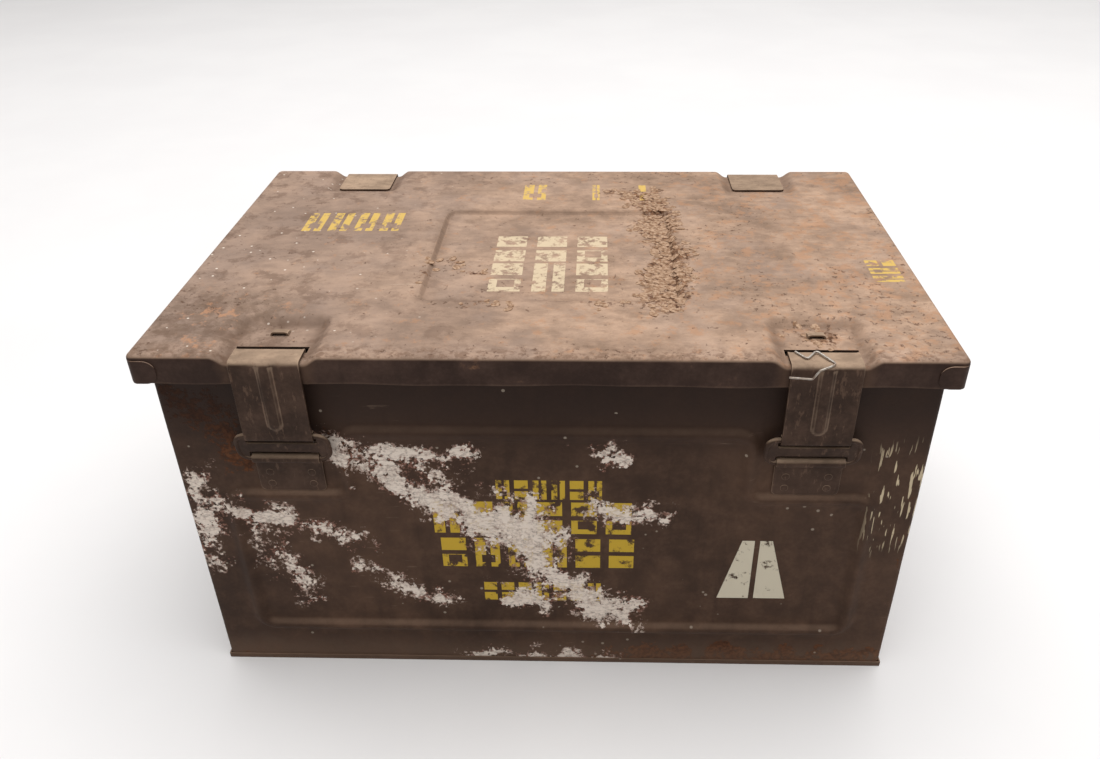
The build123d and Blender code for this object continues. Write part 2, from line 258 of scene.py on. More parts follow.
def freeze(obj):
    """Turn an object and its modifiers into a plain mesh, and drop the modifiers."""
    graph = bpy.context.evaluated_depsgraph_get()
    mesh = bpy.data.meshes.new_from_object(obj.evaluated_get(graph), preserve_all_data_layers=True,
                                           depsgraph=graph)
    mesh.name = obj.name
    if obj.type == "MESH":
        obj.modifiers.clear()
        obj.data = mesh
        return obj
    plain = bpy.data.objects.new(obj.name + "_mesh", mesh)
    bpy.context.scene.collection.objects.link(plain)
    bpy.data.objects.remove(obj)
    return plain


def new_piece(name, points, faces, edges=()):
    """A mesh object from points in millimetres."""
    mesh = bpy.data.meshes.new(name)
    mesh.from_pydata([tuple(p) for p in np.asarray(points, float) * MM], list(edges), list(faces))
    mesh.update()
    piece = bpy.data.objects.new(name, mesh)
    bpy.context.scene.collection.objects.link(piece)
    return piece


def join(name, pieces):
    """Join several meshes into one object."""
    points, faces = [], []
    for piece in pieces:
        start = len(points)
        points += [v.co / MM for v in piece.data.vertices]
        faces += [[start + i for i in p.vertices] for p in piece.data.polygons]
        bpy.data.objects.remove(piece)
    return new_piece(name, points, faces)


def thicken(piece, thickness, offset=-1.0, bevel=0.0):
    """Give a bent sheet its thickness and, if asked, a worn edge, then freeze it."""
    solid = piece.modifiers.new("thickness", "SOLIDIFY")
    solid.thickness = thickness * MM
    solid.offset = offset
    solid.use_even_offset = True
    if bevel:
        edge = piece.modifiers.new("worn edge", "BEVEL")
        edge.width = bevel * MM
        edge.segments = 2
        edge.limit_method = "ANGLE"
        edge.angle_limit = math.radians(50)
    return freeze(piece)


# %% Helpers for nodes that several trees use


def here(graph):
    """Where the point is."""
    return graph.node("GeometryNodeInputPosition")


def move(graph, geometry, **how):
    """Set Position, with a new Position or an Offset."""
    return graph.node("GeometryNodeSetPosition", {}, {0: geometry, **how})


def named(graph, label, kind="FLOAT"):
    """A named attribute of the mesh."""
    return graph.node("GeometryNodeInputNamedAttribute", {"data_type": kind}, {"Name": label})


# %% [markdown]
# ### Pressed beads
# A bead is a rounded ridge that a roller or a press forms in flat sheet. A curve with a profile could be laid on
# the wall, but its foot would show a seam. Here each point of the wall's own grid rises by its distance from a
# path instead, so the sheet stays in one piece. A slow noise gives the flat parts their waviness.

# %% Tree: press a bead along a path
graph, given = new_tree("press bead", **{
    "Path": ("NodeSocketObject", None), "Half width": ("NodeSocketFloat", 0.0045),
    "Height": ("NodeSocketFloat", 0.003), "Waviness": ("NodeSocketFloat", 0.0003),
    "Wave size": ("NodeSocketFloat", 0.06)})
path = graph.node("GeometryNodeObjectInfo", {"transform_space": "ORIGINAL"}, {0: given["Path"]}).pick("Geometry")
distance = graph.node("GeometryNodeProximity", {"target_element": "EDGES"}, {0: path}).pick("Distance")
rise = (1 - distance / given["Half width"]).clamp()
rise = rise * rise * (3 - 2 * rise)
wave = graph.vector("DIVIDE", here(graph), graph.combine(*[given["Wave size"]] * 3))
dents = graph.node("ShaderNodeTexNoise", {}, {"Vector": wave, "Scale": 1.0, "Detail": 2.0})
amount = rise * given["Height"] + (dents - 0.5) * 2 * given["Waviness"] * (1 - rise)
push = graph.scale(graph.node("GeometryNodeInputNormal"), amount)
press_bead = end_tree(graph, move(graph, given["Geometry"], Offset=push), given["Material"])

# %% [markdown]
# ### Pressed pockets
# A pocket is a level floor with sloping walls and rounded corners. A boolean cut would leave sharp walls and
# ragged faces. Here each point of the lid's grid sinks by its distance outside a rounded rectangle, and only the
# points near the top surface take part, so the skirt stays where it is.

# %% Tree: press a pocket with sloping walls into a level sheet
WALL_TOP, FULL_TOP = 0.014, 0.004
graph, given = new_tree("press pocket", **{
    "Centre": ("NodeSocketVector", (0, 0, 0)), "Half size": ("NodeSocketVector", (0.01, 0.01, 0)),
    "Corner radius": ("NodeSocketFloat", 0.004), "Drop": ("NodeSocketFloat", 0.004),
    "Slope": ("NodeSocketFloat", 0.006), "Surface": ("NodeSocketFloat", 0.236)})
x, y, z = graph.split(here(graph))
reach = [graph.math("MAXIMUM", abs(spot - centre) - (half - given["Corner radius"]), 0.0)
         for spot, centre, half in zip((x, y), graph.split(given["Centre"]), graph.split(given["Half size"]))]
outside = (reach[0] ** 2 + reach[1] ** 2) ** 0.5 - given["Corner radius"]
depth = 1 - graph.smooth(0.0, given["Slope"], outside)
near_top = graph.smooth(given["Surface"] - WALL_TOP, given["Surface"] - FULL_TOP, z)
sunk = graph.combine(x, y, z - given["Drop"] * depth * near_top)
press_pocket = end_tree(graph, move(graph, given["Geometry"], Position=sunk), given["Material"])

# %% [markdown]
# ### Bent rods
# Handles, wire and the links' loops are round rod bent cold. A chain of corner points says the shape, Fillet Curve
# rounds each corner to the bend's radius, and a circle is swept along it.

# %% Tree: bend a round rod along a chain of points
graph, given = new_tree("bend rod", **{
    "Radius": ("NodeSocketFloat", 0.003), "Bend radius": ("NodeSocketFloat", 0.008),
    "Sides": ("NodeSocketInt", 20)})
line = graph.node("GeometryNodeMeshToCurve", {}, {0: given["Geometry"]})
line = graph.node("GeometryNodeFilletCurve", {"mode": "POLY"},
                  {0: line, "Count": 7, "Radius": given["Bend radius"], "Limit Radius": True})
ring = graph.node("GeometryNodeCurvePrimitiveCircle", {"mode": "RADIUS"},
                  {"Resolution": given["Sides"], "Radius": given["Radius"]})
tube = graph.node("GeometryNodeCurveToMesh", {}, {0: line, 1: ring, "Fill Caps": True})
bend_rod = end_tree(graph, tube, given["Material"])

# %% [markdown]
# ### Spot welds
# A spot weld or a rivet head is a low dome. The points say where the domes go and an attribute says which way they
# face, so one tree serves every plate.

# %% Tree: a low dome at every point, turned by the point's facing
graph, given = new_tree("spot welds", **{
    "Radius": ("NodeSocketFloat", 0.0024), "Height": ("NodeSocketFloat", 0.00035)})
dots = graph.node("GeometryNodeMeshToPoints", {}, {0: given["Geometry"]})
turn = graph.node("FunctionNodeAlignEulerToVector", {"axis": "Z"},
                  {"Vector": named(graph, "facing", "FLOAT_VECTOR")})
dome = graph.node("GeometryNodeMeshUVSphere", {}, {"Segments": 14, "Rings": 6, "Radius": 1.0})
dome = graph.node("GeometryNodeTransform", {}, {
    0: dome, "Scale": graph.combine(given["Radius"], given["Radius"], given["Height"])})
domes = graph.node("GeometryNodeInstanceOnPoints", {}, {0: dots, "Instance": dome, "Rotation": turn})
spot_welds = end_tree(graph, domes, given["Material"])

# %% [markdown]
# ### Scabs
# Rust lifts off in thin plates with ragged outlines, and a dried spill breaks into flakes. Each is one nine-sided
# plate of eleven faces, pushed out of shape, spun, tipped a little and scattered where an attribute is high.
# A ceiling keeps them all under the highest point of the lid, so the crate's size stays as it is.

# %% Tree: scatter flat scabs over a surface, thickest where an attribute is high
graph, given = new_tree("scatter scabs", **{
    "Density": ("NodeSocketFloat", 1e5), "Size": ("NodeSocketFloat", 0.0012), "Where": ("NodeSocketString", "rust"),
    "Least": ("NodeSocketFloat", 0.3), "Seed": ("NodeSocketInt", 3), "Ceiling": ("NodeSocketFloat", 0.2359)})


def draw(low, high, seed):
    """A random number for each scab."""
    return graph.node("FunctionNodeRandomValue", {"data_type": "FLOAT"}, {"Min": low, "Max": high, "Seed": seed},
                      out=1)


weight = graph.math("MAXIMUM", named(graph, given["Where"]) - given["Least"], 0.0)
scatter = graph.node("GeometryNodeDistributePointsOnFaces", {"distribute_method": "RANDOM"},
                     {0: given["Geometry"], "Density": weight * given["Density"], "Seed": given["Seed"]})
plate = graph.node("GeometryNodeMeshCylinder", {"fill_type": "NGON"}, {
    "Vertices": 9, "Side Segments": 1, "Fill Segments": 1, "Radius": 1.0, "Depth": 0.22})
ragged = graph.node("ShaderNodeTexNoise", {}, {"Scale": 1.3, "Detail": 2.0})
plate = move(graph, plate, Position=graph.vector("MULTIPLY", here(graph),
                                                 graph.combine(ragged * 1.9, ragged * 1.4, 1.0)))
turned = scatter.pick("Rotation")
spin, curl = draw(0.0, 6.283, given["Seed"]), draw(-0.16, 0.16, given["Seed"] + 1)
for axis, angle in (((0, 0, 1), spin), ((1, 0, 0), curl)):
    tip = graph.node("FunctionNodeAxisAngleToRotation", {}, {"Axis": axis, "Angle": angle})
    turned = graph.node("FunctionNodeRotateRotation", {"rotation_space": "LOCAL"}, {0: turned, 1: tip})
scabs = graph.node("GeometryNodeInstanceOnPoints", {}, {
    0: scatter, "Instance": plate, "Rotation": turned, "Scale": draw(0.35, 1.0, given["Seed"]) * given["Size"]})
scabs = graph.node("GeometryNodeRealizeInstances", {}, {0: scabs})
x, y, z = graph.split(here(graph))
scabs = move(graph, scabs, Position=graph.combine(x, y, graph.math("MINIMUM", z, given["Ceiling"])))
scatter_scabs = end_tree(graph, scabs, given["Material"])
print("trees:", [t.name for t in bpy.data.node_groups])

# %% [markdown]
# ## Paint, rust and dust
# The crate was sprayed a dark red-brown, then spent years in a store: dust films every upward face, rust has
# bitten through in patches, and edges are rubbed light. `Finish` is a graph for one material, measured in
# millimetres on the object, so the grain has the right size and stays in place when a piece swings.

# %% The finish graph


class Finish(Graph):
    """A material's tree, with the surface measured in millimetres."""

    def __init__(self, name):
        self.material = bpy.data.materials.new(name)
        self.material.use_nodes = True
        super().__init__(self.material.node_tree)
        self.shader = self.tree.nodes["Principled BSDF"]
        self.shader.inputs["Specular IOR Level"].default_value = 0.14
        place = self.node("ShaderNodeTexCoord")
        self.mm = self.scale(place.pick("Object"), 1 / MM)
        self.x, self.y, self.z = self.split(self.mm)
        facing = self.split(place.pick("Normal"))
        self.up, self.front = facing[2], -facing[1]

    def noise(self, size, detail=3.0, rough=0.55, stretch=(1, 1, 1), shift=0.0):
        """Cloudy values from 0 to 1 whose lumps are about size millimetres across."""
        spot = self.vector("MULTIPLY", self.mm, tuple(s / size for s in stretch))
        spot = self.vector("ADD", spot, (shift, shift, shift))
        return self.node("ShaderNodeTexNoise", {}, {"Vector": spot, "Scale": 1.0, "Detail": detail,
                                                    "Roughness": rough})

    def cells(self, size, feature="F1", stretch=(1, 1, 1)):
        """Distance to the nearest of scattered points, or to the border between two, in cell sizes."""
        spot = self.vector("MULTIPLY", self.mm, tuple(s / size for s in stretch))
        found = self.node("ShaderNodeTexVoronoi", {"feature": feature}, {"Vector": spot, "Scale": 1.0})
        return found.pick("Distance")

    def zone(self, name):
        """A painted attribute of the mesh, 0 where a mesh has none."""
        return self.node("ShaderNodeAttribute", {"attribute_name": name}).pick("Fac")

    def finish(self, colour, roughness, height=None, metallic=None):
        """Feed the shader and return the material."""
        self.plug(colour, self.shader.inputs["Base Color"])
        self.plug(roughness, self.shader.inputs["Roughness"])
        if metallic is not None:
            self.plug(metallic, self.shader.inputs["Metallic"])
        if height is not None:
            bump = self.node("ShaderNodeBump", {}, {"Strength": 1.0, "Distance": MM, "Height": height})
            self.plug(bump, self.shader.inputs["Normal"])
        return self.material


def stencil(g, across, up, row, seed):
    """Mask of a row of plain stencilled blocks, each with one bridge: (from, to, foot, head, how many)."""
    start, stop, foot, head, count = row
    along = (across - start) * (count / (stop - start))
    rise = (up - foot) / (head - foot)
    cell = g.math("FLOOR", along)
    part = g.math("FRACT", along)
    luck = g.node("ShaderNodeTexWhiteNoise", {"noise_dimensions": "1D"}, {"W": cell + seed}).pick("Value")
    inside = (along > 0.0) * (along < float(count)) * (rise > 0.0) * (rise < 1.0) * (part < 0.74)
    upright = (abs(part - 0.39) < 0.07) * (luck > 0.45)
    level = (abs(rise - 0.5) < 0.07) * (luck < 0.45)
    slot = (abs(part - 0.39) < 0.2) * (abs(rise - 0.28) < 0.13) * (luck > 0.25) * (luck < 0.7)
    return inside * (1 - upright) * (1 - level) * (1 - slot)


# %% [markdown]
# ### Old brown paint
# One recipe serves the body, the lid and the fittings, with different amounts. It starts from two browns, then
# lays on wear, dust on faces that look up, rust where the mesh says it has bitten, and light edges that are
# partly rubbed wear and partly a painted highlight.
# Marks and spills are added on top by the caller, before the colour goes into the shader.

# %% The shared paint recipe
WALL_RUST = (0.040, 0.016, 0.009), (0.13, 0.050, 0.022), (0.24, 0.11, 0.055)
LID_RUST = (0.10, 0.045, 0.026), (0.25, 0.115, 0.055), (0.42, 0.23, 0.13)


def old_paint(name, dark, light, dust, dusty, rust_level, wear, shine, rusts=WALL_RUST):
    """Start a painted finish and return its graph with .colour, .rough and .height still open to changes."""
    g = Finish(name)
    broad, cloud = g.noise(75, 4), g.noise(16, 6, 0.6, shift=7.3)
    g.fine, g.cloud, g.broad = g.noise(2.6, 8, 0.62, shift=3.1), cloud, broad
    grit = g.noise(0.7, 2, 0.6)
    colour = g.mix(g.smooth(0.3, 0.7, broad * 0.55 + cloud * 0.45), dark, light)
    runs = g.noise(9, 4, 0.6, stretch=(1, 1, 0.12))
    colour = g.mix(g.smooth(0.52, 0.75, runs) * 0.3, colour, tuple(c * 0.5 for c in dark))
    rubbed = g.smooth(0.5 - wear * 0.2, 0.78, cloud * 0.6 + g.fine * 0.4)
    colour = g.mix(rubbed * 0.5 * wear, colour, tuple(min(1.0, c * 2.1 + 0.02) for c in light))
    # Dust settles on what looks up, thin where hands and cloths have passed.
    look_up = g.smooth(0.22, 0.85, g.up)
    film = (look_up * dusty * (0.62 + 0.6 * g.smooth(0.25, 0.7, broad) * (0.6 + 0.5 * cloud))).clamp()
    tone = g.noise(24, 9, 0.70, shift=11.0) * 0.55 + g.noise(6, 7, 0.7, stretch=(0.5, 1, 1), shift=19.0) * 0.45
    dust_tone = g.mix(g.smooth(0.38, 0.62, tone), tuple(c * 0.64 for c in dust), dust)
    colour = g.mix(film, colour, dust_tone)
    # Rust shows where its zone and the clouds add up.
    zone = g.zone("rust")
    bite = g.smooth(0.50, 0.62, zone * 0.62 + rust_level + (cloud - 0.5) * 0.85 + (g.fine - 0.5) * 0.7)
    rust = g.mix(g.smooth(0.32, 0.68, g.fine), rusts[0], rusts[1])
    rust = g.mix(g.smooth(0.5, 0.8, g.noise(5, 5, 0.65, shift=5.0)) * (0.35 + 0.65 * look_up), rust, rusts[2])
    g.bite = bite
    colour = g.mix(bite * 0.92, colour, rust)
    # Edges are rubbed down to a pale dusty metal, and painted highlight lightens them more where they face up.
    edge = g.smooth(0.35, 0.95, g.zone("edge") + (cloud - 0.5) * 0.9)
    edge = edge * (shine + (1 - shine) * g.smooth(0.1, 0.7, g.up))
    colour = g.mix(edge * 0.45, colour, tuple(min(1.0, c * 1.15) for c in dust))
    g.colour = colour
    g.rough = (0.52 + 0.22 * cloud + 0.28 * film + 0.3 * bite).clamp()
    g.height = grit * 0.03 + g.fine * 0.10 + bite * (g.fine * 0.55 - 0.12) + rubbed * -0.02
    return g


def put_on(g, mask, colour, rough=None, height=None):
    """Lay a mark or spill over the finish."""
    g.colour = g.mix(mask, g.colour, colour)
    if rough is not None:
        g.rough = g.rough * (1 - mask) + mask * rough
    if height is not None:
        g.height = g.height + mask * height


# %% [markdown]
# ### The body's paint
# The front wall carries four rows of yellow stencilling, a white mark, and a pale crust of old spillage that has
# dried into feathers. The stencils here are plain blocks: they give the rhythm of the rows and spell nothing.

# %% Body paint, plain for the back and ends and marked for the front
BROWN_DARK, BROWN = (0.039, 0.0205, 0.013), (0.080, 0.043, 0.0265)
DUST = (0.47, 0.315, 0.222)
YELLOW, CREAM, CHALK, CRUST = (0.56, 0.37, 0.035), (0.62, 0.50, 0.34), (0.60, 0.54, 0.42), (0.80, 0.70, 0.61)


def rain_specks(g, colour):
    """Small pale splashes, thin on walls."""
    spots = g.smooth(0.13, 0.08, g.cells(9)) * (g.noise(30, 2, shift=2.0) > 0.56)
    put_on(g, spots * 0.5, colour)


def body_finish(name, marked):
    g = old_paint(name, BROWN_DARK, BROWN, DUST, 0.36, 0.05, 0.45, 0.45)
    # Painted shadow: the top of every wall is darkened where the lid's overhang shades it.
    put_on(g, g.smooth(155, 205, g.z + (g.cloud - 0.5) * 30) * 0.8, (0.024, 0.0125, 0.009))
    foot = g.smooth(26, 2, g.z + (g.cloud - 0.5) * 30)
    put_on(g, foot * 0.35, (0.20, 0.13, 0.09))
    rain_specks(g, (0.45, 0.38, 0.30))
    # Fine scuffs rubbed across the wall.
    scuff = g.smooth(0.63, 0.70, g.noise(3.2, 4, 0.6, stretch=(0.12, 0.12, 1), shift=9.0))
    scuff = scuff * g.smooth(0.5, 0.7, g.broad)
    put_on(g, scuff * 0.3, (0.26, 0.18, 0.13))
    if marked:
        outside = g.smooth(0.1, 0.4, g.front)
        worn = g.smooth(0.39, 0.49, g.noise(7, 6, 0.65, shift=1.7))
        rows = [(-30, 34, 136, 150, 6), (-68, 54, 110, 134, 6), (-65, 56, 83, 106, 6), (-41, 34, 55, 70, 7)]
        paint = 0.0
        for seed, row in enumerate(rows):
            paint = stencil(g, g.x, g.z, row, seed * 17.0) + paint
        put_on(g, paint * worn * outside * 0.92, YELLOW, 0.55, 0.05)
        # The white mark is a plain block that narrows upwards, with one stencil bridge.
        rise = (g.z - 59.0) / 47.0
        block = (abs(g.x - 124.0) < 21.0 - 12.0 * rise) * (rise > 0.0) * (rise < 1.0) * (abs(g.x - 124.0) > 1.6)
        put_on(g, block * outside * g.smooth(0.36, 0.44, g.noise(9, 7, 0.7, shift=4.4)), CHALK, 0.7, 0.05)
        # Cream scuffs stand upright near the right edge.
        drag = g.smooth(0.61, 0.64, g.noise(1.8, 2, 0.5, stretch=(1, 1, 0.11), shift=6.0))
        drag = drag * g.smooth(180, 190, g.x)
        put_on(g, drag * outside * g.smooth(90, 115, g.z) * g.smooth(185, 165, g.z), (0.55, 0.45, 0.30))
        # Dried crust: feathery where the zone fades, solid in its heart.
        crust_zone = g.zone("crust") * outside
        lobes, grain = g.noise(10, 7, 0.62, shift=8.8), g.noise(2.3, 5, 0.6, shift=2.2)
        field = crust_zone * 0.62 + (lobes - 0.5) * 1.5 + (grain - 0.5) * (1.5 - crust_zone.clamp() * 1.25)
        live = g.smooth(0.02, 0.10, crust_zone)
        crust = g.smooth(0.335, 0.355, field) * live
        crust_tone = g.mix(g.smooth(0.36, 0.54, grain * 0.6 + lobes * 0.4), (0.46, 0.36, 0.30), CRUST)
        cracks = g.smooth(0.05, 0.0, abs(g.noise(5.5, 6, 0.6, stretch=(0.55, 1, 1.5), shift=4.1) - 0.5)) * 0.45
        speckle = g.smooth(0.47, 0.51, g.noise(1.9, 4, 0.6, shift=5.5)) * g.smooth(0.12, 0.30, field) * live
        speck_tone = g.mix(g.smooth(0.42, 0.6, g.cloud), (0.27, 0.13, 0.095), (0.58, 0.46, 0.39))
        put_on(g, speckle * 0.9, speck_tone, 0.85, 0.1)
        put_on(g, crust * (1 - cracks) * 0.97, crust_tone, 0.85, 0.22)
    return g.finish(g.colour, g.rough, g.height)


body_paint = body_finish("body paint", False)
front_paint = body_finish("front wall paint", True)
print("body finishes:", body_paint.name, "and", front_paint.name)

# %% [markdown]
# ### The lid's paint
# Dust and sun have turned the lid pale. It has its own stencil rows, two cream ones in the recess, and deep
# flaking rust at the recess's right side, where the plates of scale have cracked apart.

# %% Lid paint
g = old_paint("lid paint", (0.026, 0.013, 0.009), (0.050, 0.027, 0.019), DUST, 1.0, 0.02, 0.6, 0.1,
              LID_RUST)
top = g.smooth(0.45, 0.9, g.up)
put_on(g, g.smooth(-0.1, -0.6, g.up) * g.bite * 0.75, (0.11, 0.047, 0.026))
# Brown shows through the dust in soft drifts, and orange specks gather towards the front right.
drift = g.smooth(0.50, 0.66, g.noise(22, 10, 0.72, stretch=(0.7, 1, 1), shift=14.0)) * top
put_on(g, drift * 0.5, (0.21, 0.135, 0.090))
mauve = g.smooth(0.46, 0.66, g.noise(48, 5, 0.6, shift=33.0)) * top
put_on(g, mauve * 0.22, (0.33, 0.255, 0.220))
# The left half is greyer and darker, with brown showing towards its end.
left = g.smooth(60, -190, g.x + (g.broad - 0.5) * 160) * top
put_on(g, left * 0.46, (0.26, 0.19, 0.155))
put_on(g, left * g.smooth(0.50, 0.62, g.noise(15, 9, 0.7, shift=27.0)) * 0.55, (0.14, 0.085, 0.06))
corner = g.smooth(70, 25, ((g.x + 185) ** 2 + (g.y + 108) ** 2) ** 0.5 + (g.cloud - 0.5) * 90) * top
put_on(g, corner * g.smooth(0.36, 0.60, g.noise(9, 9, 0.72, shift=41.0)) * 0.55, (0.13, 0.082, 0.055))
put_on(g, corner * g.smooth(0.56, 0.64, g.noise(12, 8, 0.7, shift=43.0)) * 0.7, (0.44, 0.23, 0.13))
warm = g.smooth(0.53, 0.63, g.noise(11, 9, 0.74, shift=21.0) + (g.x - 60.0) * 0.0003) * top
put_on(g, warm * 0.45, (0.43, 0.22, 0.115))
rim = g.smooth(-122, -137, g.y + (g.cloud - 0.5) * 14) * top
put_on(g, rim * g.smooth(0.46, 0.60, g.noise(5, 8, 0.72, shift=51.0)) * 0.6, (0.15, 0.085, 0.055))
pits = g.smooth(0.60, 0.66, g.noise(3.4, 7, 0.7, shift=17.0) + g.zone("rust") * 0.10 - 0.02) * top
put_on(g, pits * 0.7, (0.11, 0.055, 0.035), 0.9, -0.2)
pale = g.smooth(0.10, 0.06, g.cells(9)) * g.smooth(-60, -170, g.x + (g.cloud - 0.5) * 260) * top
put_on(g, pale * 0.8, (0.78, 0.68, 0.58))
scratch = g.smooth(0.66, 0.72, g.noise(2.4, 3, 0.6, stretch=(0.07, 1, 1), shift=6.6))
scratch = scratch * g.smooth(0.5, 0.62, g.broad) * top
put_on(g, scratch * 0.4, (0.60, 0.46, 0.36))
# Grime collects at the foot of each pressing's wall, and the same dark line is painted shade that outlines it.
grime = g.zone("grime") * g.smooth(0.30, 0.62, g.cloud + 0.12)
put_on(g, grime * 0.7, (0.10, 0.058, 0.038), 0.85)
worn = g.smooth(0.41, 0.50, g.noise(8, 7, 0.68, shift=1.2))
yellow = stencil(g, g.x, g.y, (-171, -101, 24, 55, 4), 5.0)
for start, stop, seed in ((-26, -4, 31.0), (24, 31, 32.0), (58, 65, 33.0)):
    yellow = yellow + stencil(g, g.x, g.y, (start, stop, 81, 111, 1), seed)
yellow = yellow + stencil(g, -g.y, g.x, (19, 52, 193, 211, 3), 41.0)
put_on(g, yellow * worn * top * 0.85, (0.64, 0.43, 0.11))
cream = stencil(g, g.x, g.y, (-38, 41, -16, 23, 3), 51.0) + stencil(g, g.x, g.y, (-38, 41, -58, -19, 3), 53.0)
put_on(g, cream * g.smooth(0.42, 0.52, g.noise(6, 8, 0.7, shift=2.9)) * top * 0.86, CREAM)
# Scale: cracked plates with dark gaps, only where the rust zone is strong.
scale = g.smooth(0.42, 0.58, g.zone("rust") * 0.8 + (g.cloud - 0.5) * 0.8)
gap = g.smooth(0.13, 0.02, g.cells(5.5, "DISTANCE_TO_EDGE", stretch=(0.6, 1, 1))) * g.smooth(0.42, 0.55, g.fine)
put_on(g, scale * g.smooth(0.40, 0.6, g.fine) * 0.75, (0.27, 0.14, 0.075), 0.95, 0.25)
put_on(g, scale * gap * 0.8, (0.06, 0.028, 0.018), 0.95, -0.4)
lid_paint = g.finish(g.colour, g.rough, g.height)

# %% [markdown]
# ### Fittings, bare steel, rubber and the floor
# Straps, links and hinge leaves were painted with the body but are handled most, so their edges are rubbed light,
# and a painted highlight lightens them further, even where they don't face up.
# Pins, handles and wire are steel that has gone brown. The seal is perished black rubber.

# %% The other finishes
g = old_paint("fitting paint", (0.026, 0.0135, 0.0085), (0.060, 0.033, 0.0215), (0.44, 0.31, 0.215),
              0.85, 0.07, 0.7, 0.6)
lighten = g.smooth(0.56, 0.66, g.noise(3.0, 6, 0.65, stretch=(1, 1, 0.35), shift=12.0))
put_on(g, lighten * 0.4, (0.17, 0.10, 0.065), 0.42)
fitting_paint = g.finish(g.colour, g.rough, g.height)

g = Finish("bare steel")
patch, tooth = g.noise(7, 6, 0.65), g.noise(1.1, 4, 0.6)
rusty = g.smooth(0.42, 0.62, patch)
steel_colour = g.mix(rusty, (0.20, 0.17, 0.145), (0.11, 0.055, 0.03))
steel_colour = g.mix(g.smooth(0.5, 0.95, g.up) * 0.35, steel_colour, DUST)
bare_steel = g.finish(steel_colour, 0.38 + 0.4 * rusty, tooth * 0.08 + rusty * 0.05, 0.85 - 0.8 * rusty)

g = Finish("seal wire")
wire_tone = g.mix(g.smooth(0.4, 0.65, g.noise(5, 4)), (0.50, 0.46, 0.41), (0.24, 0.18, 0.14))
wire_steel = g.finish(wire_tone, 0.35 + 0.3 * g.noise(3, 3), g.noise(0.8, 2) * 0.03, 0.7)

g = Finish("seal rubber")
chalky = g.smooth(0.4, 0.7, g.noise(12, 6, 0.65))
seal_rubber = g.finish(g.mix(chalky, (0.016, 0.015, 0.014), (0.05, 0.047, 0.043)), 0.75 + 0.15 * chalky,
                       g.noise(1.5, 5) * 0.1)

g = Finish("studio floor")
floor_tone = g.mix(g.smooth(0.35, 0.65, g.noise(240, 4)), (0.79, 0.775, 0.772), (0.81, 0.795, 0.79))
floor_paint = g.finish(floor_tone, 0.7)
print("finishes:", len(bpy.data.materials))

# %% [markdown]
# ## Sheets as grids
# Every panel here began as flat sheet, so each is a grid of points that is bent and pressed, and only then given
# its thickness. Lines are close together where the metal bends and far apart where it lies flat.

# %% Grid helpers


def lines_between(start, stop, coarse, fine, bands=(), must=()):
    """Grid lines that are fine inside the bands, coarse elsewhere, and hit the must values."""
    lines = [start]
    while lines[-1] < stop - 1e-6:
        here = lines[-1]
        step = fine if any(low <= here + fine / 2 <= high for low, high in bands) else coarse
        ahead = [edge for band in bands for edge in band if here + 1e-6 < edge < here + step]
        lines.append(min([here + step, stop] + ahead))
    for value in must:
        lines[int(np.argmin(np.abs(np.array(lines) - value)))] = value
    return np.array(lines)


def grid_piece(name, rows, inside, hole=None):
    """A sheet from rows of points, facing away from the point called inside."""
    rows = np.asarray(rows, float)
    down, across = rows.shape[:2]
    points = rows.reshape(-1, 3)
    index = np.arange(down * across).reshape(down, across)
    faces = np.stack([index[:-1, :-1], index[:-1, 1:], index[1:, 1:], index[1:, :-1]], -1).reshape(-1, 4)
    corner = points[faces]
    middle = corner.mean(1)
    normal = np.cross(corner[:, 2] - corner[:, 0], corner[:, 3] - corner[:, 1])
    if (normal * (middle - np.asarray(inside))).sum() < 0:
        faces = faces[:, ::-1]
    if hole is not None:
        faces = faces[~hole(middle)]
    return new_piece(name, points, faces.tolist())


def paint_zone(piece, name, values):
    """Store one number for each point of the mesh."""
    layer = piece.data.attributes.new(name, "FLOAT", "POINT")
    layer.data.foreach_set("value", np.asarray(values, np.float32))


def points_of(piece):
    """The mesh's points in millimetres."""
    flat = np.zeros(len(piece.data.vertices) * 3)
    piece.data.vertices.foreach_get("co", flat)
    return flat.reshape(-1, 3) / MM


def wander(a, b, layer):
    """Slow and quick noise together, the same each run."""
    slow, quick = Vector((a / 17, b / 17, layer)), Vector((a / 7, b / 7, layer + 5))
    return noise.noise(slow) + noise.noise(quick) / 2


def near(across, up, strokes, ragged=0.0, plateau=1.0):
    """1 on the strokes, fading to 0 at their reach: each stroke is (from, to, reach, strength).

    A ragged zone is looked up at places shifted by noise, so its border wanders by about that much."""
    spot = np.stack([across, up], -1)
    if ragged:
        for i, (a, b) in enumerate(spot):
            spot[i] += (wander(a, b, 4.0) * ragged, wander(a, b, 11.0) * ragged)
    best = np.zeros(len(spot))
    for start, stop, reach, strength in strokes:
        start, run = np.array(start, float), np.array(stop, float) - np.array(start, float)
        part = np.clip(((spot - start) @ run) / max(run @ run, 1e-9), 0, 1)
        away = np.linalg.norm(spot - start - part[:, None] * run, axis=1)
        best = np.maximum(best, strength * np.clip(plateau * (1 - away / reach), 0, 1))
    return best


LEAST_TURN, TURN_RANGE = 0.12, 0.7


